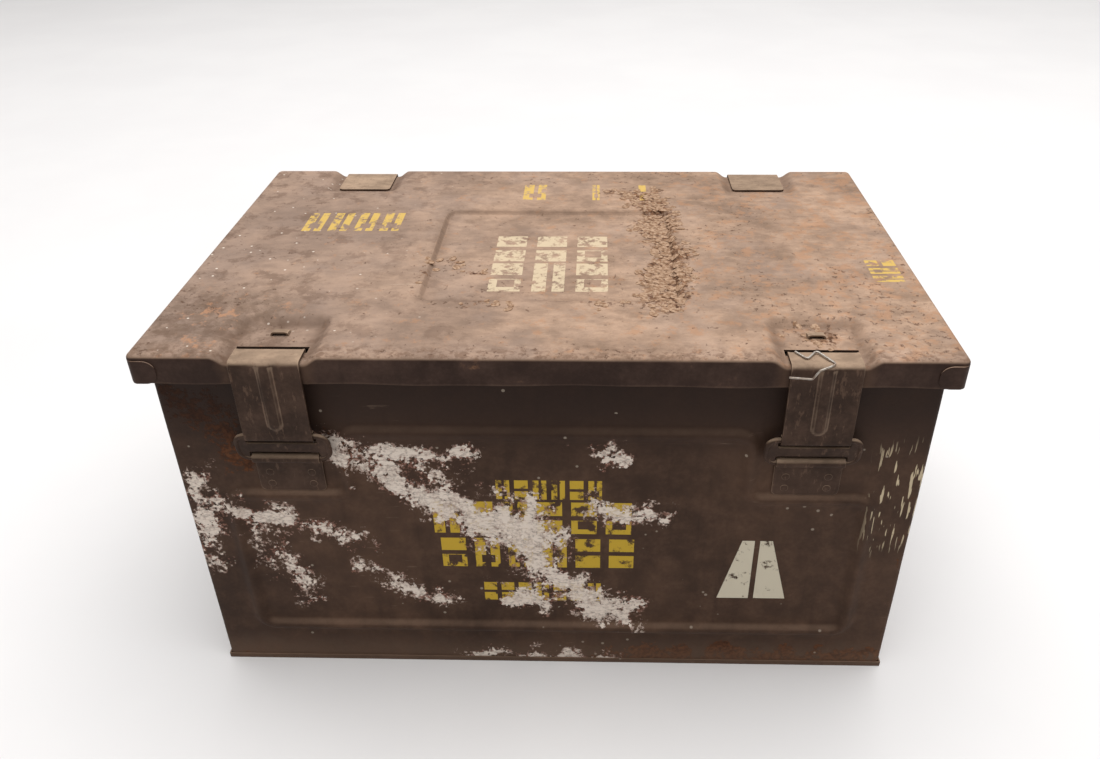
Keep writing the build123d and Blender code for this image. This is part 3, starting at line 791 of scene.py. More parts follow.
def mark_edges(piece, sharp=32, lighten=0.0):
    """Store how strongly the mesh turns at each point, plus any extra lightening, and shade it smooth."""
    mesh = piece.data
    normals = np.zeros(len(mesh.polygons) * 3)
    mesh.polygons.foreach_get("normal", normals)
    normals = normals.reshape(-1, 3)
    ends = np.array([e.vertices[:] for e in mesh.edges])
    sides = {}
    for face in mesh.polygons:
        for key in face.edge_keys:
            sides.setdefault(key, []).append(face.index)
    turn = np.zeros(len(mesh.vertices))
    for first, second in ends:
        pair = sides.get((min(first, second), max(first, second)), [])
        if len(pair) == 2:
            angle = math.acos(max(-1.0, min(1.0, float(normals[pair[0]] @ normals[pair[1]]))))
            turn[first], turn[second] = max(turn[first], angle), max(turn[second], angle)
    # The edge zone drives the light edges: rubbed wear and painted highlight together.
    paint_zone(piece, "edge", np.clip((turn - LEAST_TURN) / TURN_RANGE + lighten, 0, 1))
    mesh.shade_smooth()
    mesh.set_sharp_from_angle(angle=math.radians(sharp))


def dress(piece, material, body, nodes=(), lighten=0.0):
    """Give a finished piece its material, its edge zone and its body, and hide the nodes that it stands for."""
    piece.data.materials.clear()
    piece.data.materials.append(material)
    mark_edges(piece, lighten=lighten)
    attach(piece, body)
    if nodes:
        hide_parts(*nodes)
    print(piece.name, "faces:", len(piece.data.polygons))


# %% [markdown]
# ## The four walls
# Each wall is folded sheet: the front and back wrap round the body's corners, the ends fit between them, and all
# turn outwards at the top to carry the lid's seal. A raised bead is pressed in to stop the walls drumming. The
# bead follows a path, so the "press bead" tree lifts every point by its distance from that path.

# %% Fold and press a wall
FLANGE_BEND = 1.6
COARSE, FINE = 3.0, 1.1
SOFT_SHOULDER = 2.0
RAGGED = 11.0


def bead_path(name, outline, face):
    """A closed chain of edges with rounded corners, on a wall's face."""
    chain = []
    count = len(outline)
    for i, here in enumerate(outline):
        here = np.array(here, float)
        back = np.array(outline[i - 1], float) - here
        ahead = np.array(outline[(i + 1) % count], float) - here
        back, ahead = back / np.linalg.norm(back), ahead / np.linalg.norm(ahead)
        centre = here + (back + ahead) * bead_corner
        for turn in np.linspace(0, math.pi / 2, 8):
            chain.append(centre - ahead * bead_corner * math.cos(turn) - back * bead_corner * math.sin(turn))
    points = [(p[0], face, p[1]) for p in chain]
    return new_piece(name, points, [], [(i, (i + 1) % len(points)) for i in range(len(points))])


def wall_sheet(name, half, face, outline, turn, offset, wraps, zones):
    """One wall, drawn as a front wall and then turned about the upright axis and moved out by offset."""
    across = sorted({p[0] for p in outline})
    upward = sorted({p[1] for p in outline})
    reach = bead_width
    bands = [(v - reach, v + reach) for v in across]
    us = lines_between(-half + corner_bend, half - corner_bend, COARSE, FINE, bands)
    if wraps:
        bend = np.linspace(0, math.pi / 2, 5)
        arc = [(-half + corner_bend * (1 - math.cos(t)), face + corner_bend * (1 - math.sin(t)),
                -math.cos(t), -math.sin(t)) for t in bend]
        back = [(-half, face + corner_bend + s, -1, 0) for s in (seam_return - corner_bend, 3.0)]
        left = back + arc[:-1]
        right = [(-x, y, -nx, ny) for x, y, nx, ny in left[::-1]]
        plan = left + [(u, face, 0, -1) for u in us] + right
    else:
        plan = [(u, face, 0, -1) for u in us]
    plan = np.array(plan)
    under = wall_top - sheet - FLANGE_BEND
    zs = lines_between(wall_foot, under, COARSE, FINE, [(v - reach, v + reach) for v in upward])
    bend = np.linspace(0, math.pi / 2, 5)[1:]
    profile = [(0, z) for z in zs]
    profile += [(FLANGE_BEND * (1 - math.cos(t)), under + FLANGE_BEND * math.sin(t)) for t in bend]
    profile += [(o, wall_top - sheet) for o in (3.0, rim_flange)]
    rows = [[(x + nx * out, y + ny * out, z) for x, y, nx, ny in plan] for out, z in profile]
    piece = grid_piece(name, rows, (0, 0, wall_top / 2))
    spots = points_of(piece)
    for zone, strokes in zones.items():
        paint_zone(piece, zone, near(spots[:, 0], spots[:, 2], strokes, RAGGED,
                                     1.7 if zone == "rust" else 1.0))
    path = bead_path(name + " path", outline, face)
    use_tree(piece, press_bead, **{
        "Path": path, "Half width": (bead_width / 2 + SOFT_SHOULDER) * MM, "Height": bead_height * MM,
        "Waviness": 0.35 * MM, "Wave size": 0.055, "Material": body_paint})
    freeze(piece)
    bpy.data.objects.remove(path)
    piece.data.transform(Matrix.Translation(Vector(offset) * MM) @ Matrix.Rotation(turn, 4, "Z"))
    return thicken(piece, sheet, bevel=0.25)


shoulder = latch_x - (link_high[0] - link_low[0] + bead_width) / 2 - 1.0
bead_side, bead_foot, bead_top, bead_step = half_width - 27.5, 32.0, wall_top - 44.5, wall_top - 89.5
front_outline = [(-shoulder, bead_top), (shoulder, bead_top), (shoulder, bead_step), (bead_side, bead_step),
                 (bead_side, bead_foot), (-bead_side, bead_foot), (-bead_side, bead_step), (-shoulder, bead_step)]
plain_top = body_leaf_low[2] - bead_width / 2 - 2.0


def plain_outline(side):
    return [(-side, plain_top), (side, plain_top), (side, bead_foot), (-side, bead_foot)]


# Each stroke is (from, to, reach, strength), in millimetres across and up the wall.
crust = [
    ((-123, 174), (-98, 158), 15, 0.5), ((-98, 158), (-75, 143), 17, 0.85),
    ((-75, 143), (-40, 120), 19, 1.0), ((-40, 120), (0, 78), 19, 0.85), ((0, 78), (48, 40), 15, 0.95),
    ((-26, 116), (-14, 106), 30, 1.25), ((-119, 167), (-46, 168), 10, 0.85),
    ((-28, 60), (48, 50), 12, 0.8), ((28, 172), (40, 171), 9, 0.8), ((25, 128), (66, 122), 12, 0.7),
    ((-202, 150), (-206, 87), 12, 0.6), ((-186, 128), (-150, 118), 11, 1.0),
    ((-178, 128), (-168, 96), 12, 0.5), ((-168, 96), (-152, 64), 16, 0.62),
    ((-122, 86), (-100, 72), 8, 0.5), ((-100, 72), (-67, 54), 10, 0.8), ((-140, 116), (-112, 100), 9, 0.7),
    ((-56, 5), (40, 6), 8, 0.85)]
front_rust = [
    ((-210, 3), (40, 3), 12, 0.5), ((40, 4), (212, 4), 22, 0.95), ((-196, 205), (-175, 168), 26, 0.85),
    ((-210, 205), (-160, 205), 22, 0.6), ((104, 62), (146, 62), 10, 0.55),
    ((120, 100), (130, 70), 12, 0.4), ((-122, 176), (-92, 150), 15, 0.7),
    ((-212, 150), (-212, 20), 10, 0.5), ((210, 150), (212, 10), 9, 0.6),
    ((-100, 195), (110, 192), 10, 0.25), ((-185, 30), (185, 30), 8, 0.3), ((20, 60), (50, 30), 14, 0.5)]
plain_rust = [
    ((-210, 3), (212, 3), 16, 0.7), ((-212, 200), (-190, 30), 12, 0.5), ((212, 190), (205, 40), 12, 0.55),
    ((-60, 200), (40, 190), 16, 0.45), ((90, 60), (120, 100), 22, 0.5), ((-150, 40), (-100, 70), 20, 0.5)]
front_wall = wall_sheet("front_wall", half_width, front_y, front_outline, 0.0, (0, 0, 0), True,
                        {"crust": crust, "rust": front_rust})
back_wall = wall_sheet("back_wall", half_width, front_y, plain_outline(bead_side), math.pi, (0, 0, 0), True,
                       {"rust": plain_rust})
# The walls' light edges, rubbed wear and painted highlight alike, are turned down so the bead's folds show no
# lines.
dress(front_wall, front_paint, "crate", ["front_panel"], lighten=-0.3)
dress(back_wall, body_paint, "crate", ["back_panel"], lighten=-0.3)
end_half = back_y - seam_return - 0.25 + corner_bend
for side, sign in SIDES.items():
    end_wall = wall_sheet(f"{side}_end_wall", end_half, -half_width, plain_outline(back_y - 27.5),
                          sign * math.pi / 2, (0, 0, 0), False, {"rust": plain_rust})
    dress(end_wall, body_paint, "crate", [f"{side}_end_panel"], lighten=-0.3)

# %% [markdown]
# ## The lid
# The lid is one pressed tray. Its grid is a flat top whose border is swept over a rounded edge and down the skirt,
# with a fan of strips at each corner. The "press pocket" tree then sinks the recess and the four pockets. Slots for
# the straps' lips are left open in the grid before the sheet gets its thickness.

# %% Lay out, press and thicken the lid
EDGE_RADIUS, CORNER_RADIUS = 3.0, 4.0
POCKET_SLOPE = 8.5
RECESS_DROP, POCKET_DROP = 3.5, 4.5
# Strength of the grime and painted shade at the foot of the left, front, right and back walls.
RECESS_GRIME_AND_SHADE, POCKET_GRIME_AND_SHADE = (0.45, 0.75, 0.45, 0.15), (0.8,) * 4
# Each pocket is (centre, half size, corner radius, drop, slope).
recess = ((0.0, -6.5), (74.0, 66.0), 7.0, RECESS_DROP, 3.6)
pocket_half = strap_width / 2 + 1.5
pockets = [recess]
for sign in SIDES.values():
    pockets.append(((sign * latch_x, -122.5), (pocket_half, 22.5), 4.0, POCKET_DROP, POCKET_SLOPE))
    pockets.append(((sign * latch_x, 124.5), (pocket_half, 20.5), 4.0, POCKET_DROP, POCKET_SLOPE))
slot_front, slot_back = strap_high[1] - strap_plate - 0.5, strap_high[1] + 4.4
slot_half = pocket_half - 0.75


def lid_blank():
    flat_x, flat_y = lid_half[0] - CORNER_RADIUS, lid_half[1] - CORNER_RADIUS
    bands_x = [(s * (74 + 1.8) - 4, s * (74 + 1.8) + 4) for s in (-1, 1)]
    bands_x += [(s * latch_x + t * (pocket_half + 3) - 5, s * latch_x + t * (pocket_half + 3) + 5)
                for s in (-1, 1) for t in (-1, 1)]
    bands_y = [(-78, -70), (57, 65), (-103, -92), (102, 112 - 4), (slot_front - 1, slot_back + 1)]
    must = [s * latch_x + t * slot_half for s in (-1, 1) for t in (-1, 1)]
    xs = lines_between(-flat_x, flat_x, 4.5, 0.9, sorted(bands_x), must)
    ys = lines_between(-flat_y, flat_y, 4.5, 0.9, sorted(bands_y), [slot_front, slot_back])
    top = np.array([[(x, y, lid_top) for x in xs] for y in ys])
    points = list(top.reshape(-1, 3))
    index = np.arange(len(points)).reshape(len(ys), len(xs))
    faces = np.stack([index[:-1, :-1], index[:-1, 1:], index[1:, 1:], index[1:, :-1]], -1).reshape(-1, 4)
    middle = top.reshape(-1, 3)[faces].mean(1)
    slot = (np.abs(np.abs(middle[:, 0]) - latch_x) < slot_half) & (middle[:, 1] > slot_front)
    slot &= middle[:, 1] < slot_back
    faces = faces[~slot].tolist()
    # Walk round the border: each stop is (point index, outward direction); corners fan from side to side.
    fan = 6
    loop = []
    for run, angle in ((index[0, :], -90), (index[:, -1], 0), (index[-1, ::-1], 90), (index[::-1, 0], 180)):
        loop += [(i, math.radians(angle)) for i in run]
        loop += [(run[-1], math.radians(angle + 90 * k / fan)) for k in range(1, fan)]
    arc = np.linspace(0, math.pi / 2, 6)
    flat = CORNER_RADIUS - EDGE_RADIUS
    profile = [(flat + EDGE_RADIUS * math.sin(t), lid_top - EDGE_RADIUS * (1 - math.cos(t))) for t in arc]
    profile += [(CORNER_RADIUS, z) for z in np.linspace(lid_top - EDGE_RADIUS, skirt_foot, 7)[1:]]
    ring = [i for i, _ in loop]
    for out, z in profile:
        following = []
        for i, angle in loop:
            base = points[i]
            following.append(len(points))
            points.append(np.array([base[0] + out * math.cos(angle), base[1] + out * math.sin(angle), z]))
        for k in range(len(loop)):
            after = (k + 1) % len(loop)
            face = [ring[k], following[k], following[after], ring[after]]
            faces.append(list(dict.fromkeys(face)))
        ring = following
    return new_piece("lid_sheet", points, faces)


def dented(spots):
    """Slow sags of the lid's top, always downwards, and a faint wave of its skirt."""
    x, y, z = spots.T
    sag = 0.65 + 0.18 * np.sin(x / 31 + 1.2) * np.sin(y / 27) + 0.17 * np.sin(x / 74 - 0.6 + y / 90)
    rim = np.clip(np.minimum(lid_half[0] - np.abs(x), lid_half[1] - np.abs(y)) / 12, 0, 1)
    spots[:, 2] = z - sag * rim * np.clip((z - lid_top + 5) / 5, 0, 1)
    hem = np.clip((skirt_foot + 8 - z) / 8, 0, 1)
    spots[:, 2] += (0.35 * np.sin(x / 23 + 0.5) + 0.25 * np.sin(x / 9.0)) * hem + 0.6 * hem
    return spots


lid_sheet = lid_blank()
for (x, y), (half_x, half_y), radius, drop, slope in pockets:
    use_tree(lid_sheet, press_pocket, **{
        "Centre": (x * MM, y * MM, 0.0), "Half size": (half_x * MM, half_y * MM, 0.0),
        "Corner radius": radius * MM, "Drop": drop * MM,
        "Slope": slope * MM, "Surface": lid_top * MM, "Material": lid_paint})
freeze(lid_sheet)
moved = dented(points_of(lid_sheet)) * MM
lid_sheet.data.vertices.foreach_set("co", moved.reshape(-1))
# Strokes on the lid are in millimetres across and back.
lid_rust = [
    ((60, 90), (70, 40), 24, 0.9), ((70, 40), (73, -10), 20, 1.0), ((73, -10), (68, -76), 22, 1.0),
    ((58, -76), (20, -79), 9, 0.6), ((-72, -80), (-20, -80), 8, 0.55), ((-78, -78), (-80, -10), 8, 0.5),
    ((-60, -60), (30, -48), 14, 0.35), ((-216, -84), (-184, -78), 26, 0.44),
    ((-140, -138), (110, -139), 8, 0.44), ((120, -60), (200, -120), 40, 0.38),
    ((140, -104), (152, -114), 22, 0.6), ((-150, -104), (-143, -112), 16, 0.44),
    ((40, 97), (50, 95), 14, 0.7), ((-60, 120), (110, 130), 18, 0.4), ((170, -30), (215, -138), 24, 0.45),
    ((100, 20), (130, 60), 22, 0.35), ((-216, 60), (-216, -138), 7, 0.44),
    ((216, 60), (217, -138), 7, 0.44), ((-68, -20), (-46, -34), 13, 0.56)]
spots = points_of(lid_sheet)
paint_zone(lid_sheet, "rust", near(spots[:, 0], spots[:, 1], lid_rust, 9.0, 1.5))
# A dark line of grime and painted shade runs round the foot of each pressing.
grime = []
for (x, y), (half_x, half_y), radius, drop, slope in pockets:
    ring = [(x + sx * (half_x + 1), y + sy * (half_y + 1)) for sx, sy in ((-1, -1), (1, -1), (1, 1), (-1, 1))]
    strong = RECESS_GRIME_AND_SHADE if drop == RECESS_DROP else POCKET_GRIME_AND_SHADE
    grime += [(ring[k - 1], ring[k], 6.0, strong[k]) for k in range(4)]
paint_zone(lid_sheet, "grime", near(spots[:, 0], spots[:, 1], grime))
thicken(lid_sheet, sheet)

# %% [markdown]
# Small pressed features are made apart and joined to the lid: a louvre lanced up in each latch pocket, and the
# laps where each end skirt is folded round its corner and welded down.

# %% Louvres and corner laps
POCKET_FLOOR = lid_top - POCKET_DROP
LOUVRE_SETBACK = 29.5


def louvre(sign):
    """A quarter dome, open to the front."""
    half, length, height = 5.25, 6.5, 2.4
    mouth = -lid_half[1] + LOUVRE_SETBACK
    rows = []
    for part in np.linspace(0, 1, 9):
        along = math.sqrt(max(0.0, 1 - part ** 2.4))
        rows.append([(sign * latch_x + half * a, mouth + length * part,
                      POCKET_FLOOR - 0.5 + (height + 0.5) * along * math.sqrt(max(0.0, 1 - abs(a) ** 6)))
                     for a in np.linspace(-1, 1, 17)])
    return thicken(grid_piece("louvre", rows, (sign * latch_x, mouth, 0)), 0.9)


def corner_lap(sx, sy):
    """The lap of an end skirt: from the corner's bend along the front or back, with a rounded free end."""
    centre = (lid_half[0] - CORNER_RADIUS, lid_half[1] - CORNER_RADIUS)
    plan = []
    for turn in np.linspace(0.9, math.pi / 2, 6):
        lift = 0.06 + 0.62 * (turn - 0.9) / (math.pi / 2 - 0.9)
        reach = CORNER_RADIUS + lift
        plan.append((centre[0] + reach * math.cos(turn), centre[1] + reach * math.sin(turn), 0.0))
    plan += [(centre[0] - s, lid_half[1] + 0.68, s) for s in (2, 4, 5.5, 7, 8.3, 9.4, 10.3, 11.0, 11.4, 11.5)]
    foot, head = skirt_foot + 0.5, lid_top - EDGE_RADIUS - 0.3
    rows = []
    for x, y, s in plan:
        pinch = 1 - math.sqrt(max(0.0, 1 - (max(0.0, s - 5.0) / 6.5) ** 2))
        squeeze = pinch * (head - foot) * 0.42
        rows.append([(sx * x, sy * y, foot + squeeze + (head - foot - 2 * squeeze) * t)
                     for t in np.linspace(0, 1, 9)])
    return thicken(grid_piece("lap", rows, (0, 0, (foot + head) / 2)), 0.65, bevel=0.2)


louvres = join("lid_louvres", [louvre(sign) for sign in SIDES.values()])
laps = join("lid_corner_laps", [corner_lap(sx, sy) for sx in (-1, 1) for sy in (-1, 1)])
dress(lid_sheet, lid_paint, "lid", ["lid_shell"])
dress(louvres, fitting_paint, "lid", ["lid_shell"])
dress(laps, lid_paint, "lid", ["lid_shell"])

# %% [markdown]
# ## Straps, plates and leaves
# These are all strip steel bent to one side view: flat runs, bends and rolled eyes. `run` and `turn_about` walk
# that side view, and `strip` spreads it across the width, presses ribs or rims into it, and gives it thickness.

# %% Bend a strip


def turn_about(centre, radius, start, stop, steps):
    """Points on an arc in the side view, angles in degrees from the back towards up."""
    return [(centre[0] + radius * math.cos(math.radians(a)), centre[1] + radius * math.sin(math.radians(a)))
            for a in np.linspace(start, stop, steps)]


def run(start, stop, step=2.0):
    """Evenly spaced points on a straight run of the side view, without its first point."""
    start, stop = np.array(start, float), np.array(stop, float)
    count = max(1, round(float(np.linalg.norm(stop - start)) / step))
    return [tuple(start + (stop - start) * k / count) for k in range(1, count + 1)]


def strip(name, centre_x, path, thickness, half_at, lift=None, across=25, bevel=0.3):
    """Spread a side view across X: half_at(path point) is half the width there, lift pushes along the normal."""
    path = np.array(path)
    tangent = np.gradient(path, axis=0)
    tangent /= np.linalg.norm(tangent, axis=1)[:, None] + 1e-9
    normal = np.stack([-tangent[:, 1], tangent[:, 0]], -1)
    rows = []
    for (y, z), (ny, nz) in zip(path, normal):
        row = []
        for a in np.linspace(-1, 1, across):
            x = a * half_at(y, z)
            push = lift(x, y, z) if lift else 0.0
            row.append((centre_x + x, y + ny * push, z + nz * push))
        rows.append(row)
    return thicken(grid_piece(name, rows, (centre_x, 0, 0)), thickness, offset=0.0, bevel=bevel)


def dots(name, spots, body, material, slot, radius=2.3, height=0.35):
    """Spot welds or rivet heads: spots are (x, y, z, facing)."""
    base = new_piece(name, [s[:3] for s in spots], [])
    layer = base.data.attributes.new("facing", "FLOAT_VECTOR", "POINT")
    layer.data.foreach_set("vector", [v for s in spots for v in s[3]])
    use_tree(base, spot_welds, Radius=radius * MM, Height=height * MM, Material=material)
    freeze(base)
    mark_edges(base, 60)
    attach(base, body)
    print(name, "made from", len(spots), "points")


# %% [markdown]
# ### Latch straps
# The strap lies in the lid's pocket with a lip dropped into the slot, bends over the lid's edge, and runs down to
# an eye rolled round the link's bar. A rib pressed down its middle and faintly raised rims keep it stiff.

# %% Both straps
RIB_REACH, RIB_SLOPE, RIB_HEIGHT = 4.7, 2.6, 0.95
RIM_START, RIM_SLOPE, RIM_HEIGHT = 17.2, 1.4, 0.3
for side, sign in SIDES.items():
    pivot = joint_at[f"{side}_strap_hinge"][1:]
    mid = strap_plate / 2
    eye = bar_radius + pin_gap + mid
    top, front, back = strap_high[2] - mid, pivot[0] - eye, strap_high[1] - mid
    bend = 3.0 - mid
    centre_x = sign * latch_x
    rib_low = pivot[1] + 10.0
    path = [(back, strap_high[2] - 2.45), (back, top - 1.0)]
    path += turn_about((back - 1.0, top - 1.0), 1.0, 0, 90, 4)[1:]
    path += run(path[-1], (front + bend, top), 1.2)
    path += turn_about((front + bend, top - bend), bend, 90, 180, 7)[1:]
    path += run(path[-1], (front, pivot[1]), 1.4)
    path += turn_about(tuple(pivot), eye, 180, 468, 26)[1:]

    def press(x, y, z):
        """Rib down the upright part, and rims along both edges, both pushed outwards."""
        upright = 1.0 if y < front + 0.5 else max(0.0, 1 - (y - front) / 4.0)
        away = math.hypot(x, max(0.0, rib_low - z))
        depth = min(1.0, max(0.0, (RIB_REACH - away) / RIB_SLOPE))
        rib = RIB_HEIGHT * depth * depth * (3 - 2 * depth) * (upright if z > pivot[1] + 4 else 0.0)
        rim = RIM_HEIGHT * max(0.0, (abs(x) - RIM_START) / RIM_SLOPE) if z > pivot[1] + 5 else 0.0
        return -(rib + min(rim, RIM_HEIGHT))

    strap = strip(f"{side}_latch_strap", centre_x, path, strap_plate,
                  lambda y, z: strap_width / 2 - 0.15, press, across=45)
    # Painted highlights: the light edge is raised along the rib's shoulders and across the bend over the lid's
    # edge, and lowered a little elsewhere.
    spots = points_of(strap)
    away = np.hypot(spots[:, 0] - centre_x, np.maximum(0, rib_low - spots[:, 2]))
    shoulder = np.exp(-((away - 3.8) / 1.5) ** 2) * (spots[:, 2] < top - 2) * (spots[:, 2] > pivot[1] + 4)
    bent = np.exp(-((spots[:, 2] - top + 1.5) / 2.5) ** 2) * 0.45
    lighten = 0.8 * shoulder + bent - 0.22
    dress(strap, fitting_paint, f"{side}_strap", [f"{side}_strap"], lighten=lighten)

# %% [markdown]
# ### Links
# A link joins the strap to the crate. It is a stout rod bent to an oblong loop, whose long sides are the pivots,
# with a flat web across its middle. The web is a filled curve with two windows, made a mesh and then leant over.

# %% Both links
link_lower, link_upper = joint_at["right_link_hinge"][1:], joint_at["right_strap_hinge"][1:]
pitch = float(np.linalg.norm(link_upper - link_lower))
lean = math.atan2(link_lower[0] - link_upper[0], link_upper[1] - link_lower[1])
link_half = (link_high[0] - link_low[0]) / 2


def rounded(half_x, low, high, radius):
    """A rounded rectangle as a list of points."""
    points = []
    for cx, cy, start in ((half_x - radius, high - radius, 0), (-half_x + radius, high - radius, 90),
                          (-half_x + radius, low + radius, 180), (half_x - radius, low + radius, 270)):
        points += [(cx + radius * math.cos(a), cy + radius * math.sin(a))
                   for a in (math.radians(start + turn) for turn in range(0, 91, 15))]
    return points


WINDOW_SIDE, WINDOW_DEPTH = 7.2, 5.5


def web():
    """Flat web of the link with its two windows, lying in the XY plane."""
    curve = bpy.data.curves.new("web", "CURVE")
    curve.dimensions, curve.fill_mode = "2D", "BOTH"
    curve.bevel_depth, curve.offset, curve.extrude, curve.bevel_resolution = 0.35 * MM, -0.35 * MM, 0.5 * MM, 2
    window = link_half - WINDOW_SIDE
    shapes = [rounded(link_half - 0.7, -0.6, pitch + 0.6, 6.5), rounded(window, 0.1, WINDOW_DEPTH, 1.2),
              rounded(window, pitch - WINDOW_DEPTH, pitch - 0.1, 1.2)]
    for shape in shapes:
        spline = curve.splines.new("POLY")
        spline.points.add(len(shape) - 1)
        for point, (x, y) in zip(spline.points, shape):
            point.co = (x * MM, y * MM, 0, 1)
        spline.use_cyclic_u = True
    made = bpy.data.objects.new("web", curve)
    bpy.context.scene.collection.objects.link(made)
    return freeze(made)


def rod(name, chain, radius, bend, material, closed=False, sides=20):
    """A round rod bent along a chain of points, by the tree."""
    edges = [(i, i + 1) for i in range(len(chain) - 1)] + ([(len(chain) - 1, 0)] if closed else [])
    made = new_piece(name, chain, [], edges)
    use_tree(made, bend_rod, **{"Radius": radius * MM, "Bend radius": bend * MM, "Sides": sides,
                                "Material": material})
    return freeze(made)


for side, sign in SIDES.items():
    half = link_half - bar_radius
    loop = rod("loop", [(-half, 0, 0), (half, 0, 0), (half, pitch, 0), (-half, pitch, 0)], bar_radius, 6.0,
               fitting_paint, closed=True)
    piece = join(f"{side}_latch_link", [web(), loop])
    stand = Matrix.Rotation(math.pi / 2 + lean, 4, "X")
    place = Matrix.Translation(Vector((sign * latch_x, *link_lower)) * MM)
    piece.data.transform(place @ stand)
    dress(piece, fitting_paint, f"{side}_link", [f"{side}_link"])

# %% [markdown]
# ### Latch plates and hinge leaves
# The plates are welded to the crate and the lid. Their eyes interlock along a pin or a bar: one wide eye on the
# latch plate, one middle eye on the lid's leaf, and two outer eyes on the body's leaf.

# %% Plates and leaves
hinge_at = joint_at["lid_hinge"][1:]
knuckle_half = 9.0
leaf_mid = hinge_plate / 2
leaf_eye = hinge_pin_radius + hinge_pin_gap + leaf_mid
# Rows are close together where a plate's end has rounded corners.
FINE_START = (0.0, 0.4, 1.2, 2.2)


def rounded_end(z_end, inward, half, radius=3.0):
    """Half width of a plate whose end at z_end has rounded corners, inward being +1 when the plate goes up."""
    def half_at(y, z):
        gone = radius - (z - z_end) * inward
        return half - (radius - math.sqrt(max(0.0, radius ** 2 - max(0.0, gone) ** 2)))
    return half_at


for side, sign in SIDES.items():
    centre_x = sign * latch_x
    mid = strap_plate / 2
    face = front_y - mid
    path = [(face, plate_low[2] + s) for s in FINE_START]
    path += run(path[-1], (face, link_lower[1]), 2.0)
    path += turn_about(tuple(link_lower), bar_radius + pin_gap + mid, 0, 296, 26)[1:]
    plate = strip(f"{side}_catch_plate", centre_x, path, strap_plate,
                  rounded_end(plate_low[2], 1, strap_width / 2))
    dress(plate, fitting_paint, "crate", [f"{side}_latch_plate"])

    top, back = leaf_high[2] - leaf_mid, leaf_high[1] - leaf_mid
    bend = 3.0 - leaf_mid
    foot = hinge_at[1] + leaf_eye + leaf_mid + 0.6
    path = [(leaf_low[1] + s, top) for s in FINE_START]
    path += run(path[-1], (back - bend, top), 2.5)
    path += turn_about((back - bend, top - bend), bend, 90, 0, 7)[1:]
    path += run(path[-1], (back, foot), 2.0)

    def leaf_half(y, z):
        gone = max(0.0, 3.0 - (y - leaf_low[1]))
        return strap_width / 2 - (3.0 - math.sqrt(max(0.0, 9.0 - gone ** 2)))

    upper = strip("upper", centre_x, path, hinge_plate, leaf_half)
    path = run((back, foot + 2.0), (back, hinge_at[1]), 1.5)
    path += turn_about(tuple(hinge_at), leaf_eye, 0, -292, 26)[1:]
    tongue = strip("tongue", centre_x, path, hinge_plate, lambda y, z: knuckle_half, across=9)
    lid_leaf = join(f"{side}_lid_leaf", [upper, tongue])
    dress(lid_leaf, fitting_paint, "lid", [f"{side}_hinge_lid_leaf"])

    on_wall = back_y + leaf_mid
    low = body_leaf_low[2]
    path = [(on_wall, low + s) for s in FINE_START]
    path += run(path[-1], (on_wall, hinge_at[1] - 5.4), 2.5)
    pieces = [strip("plate", centre_x, path, hinge_plate, rounded_end(low, 1, strap_width / 2))]
    eye_half = (strap_width / 2 - knuckle_half - 0.3) / 2
    for end in (-1, 1):
        path = [(on_wall, hinge_at[1] - 8.0), (on_wall, hinge_at[1] - 5.0), (on_wall + 0.05, hinge_at[1] - 4.2),
                (on_wall + 0.55, hinge_at[1] - 3.2), (on_wall + 1.3, hinge_at[1] - 2.0),
                (hinge_at[0] - leaf_eye, hinge_at[1] - 0.6)]
        path += turn_about(tuple(hinge_at), leaf_eye, 180, -112, 26)
        pieces.append(strip("eye", centre_x + end * (strap_width / 2 - eye_half), path, hinge_plate,
                            lambda y, z: eye_half, across=7))
    body_leaf = join(f"{side}_body_leaf", pieces)
    dress(body_leaf, fitting_paint, "crate", [f"{side}_hinge_body_leaf"])

# %% [markdown]
# ### Welds and rivets
# A spot weld leaves a shallow dimpled dome. They repeat, so the "spot welds" tree puts a dome on each point and
# turns it to face the way that the point says.

# %% Welds on plates and leaves, rivets on the handle clips
# The body leaf's welds are sunk, because the lid's leaf folds flat against them when the lid is fully open.
WELD_SUNK = 0.22
for side, sign in SIDES.items():
    x = sign * latch_x
    welds = [(x + dx, front_y - strap_plate, plate_low[2] + dz, (0, -1, 0))
             for dx in (-12, 12) for dz in (5, 13)]
    welds += [(x + dx, back_y + hinge_plate - WELD_SUNK, body_leaf_low[2] + dz, (0, 1, 0))
              for dx in (-12, 0, 12) for dz in (7, 19)]
    dots(f"{side}_body_welds", welds, "crate", fitting_paint, "fitting_paint")
    welds = [(x + dx, leaf_low[1] + dy, leaf_high[2], (0, 0, 1)) for dx in (-12, 0, 12) for dy in (8, 22)]
    dots(f"{side}_lid_welds", welds, "lid", fitting_paint, "fitting_paint")
    heads = []
    for place in ("front", "back"):
        low, high = box_mm(f"{side}_handle_{place}_clip")
        centre_y, centre_z = (low[1] + high[1]) / 2, (low[2] + high[2]) / 2
        heads += [(sign * (half_width + 1.3), centre_y, centre_z + dz, (sign, 0, 0)) for dz in (-8.6, 8.6)]
    dots(f"{side}_clip_rivets", heads, "crate", bare_steel, "bare_steel", radius=2.4, height=1.1)

# %% [markdown]
# ## Handles and seal wire
# The drop handles are round bar with four bends. The broken seal wire is thin and springy, so its bends are small.
# Both come from the "bend rod" tree, which rounds the corners of a chain of points and sweeps a circle along it.

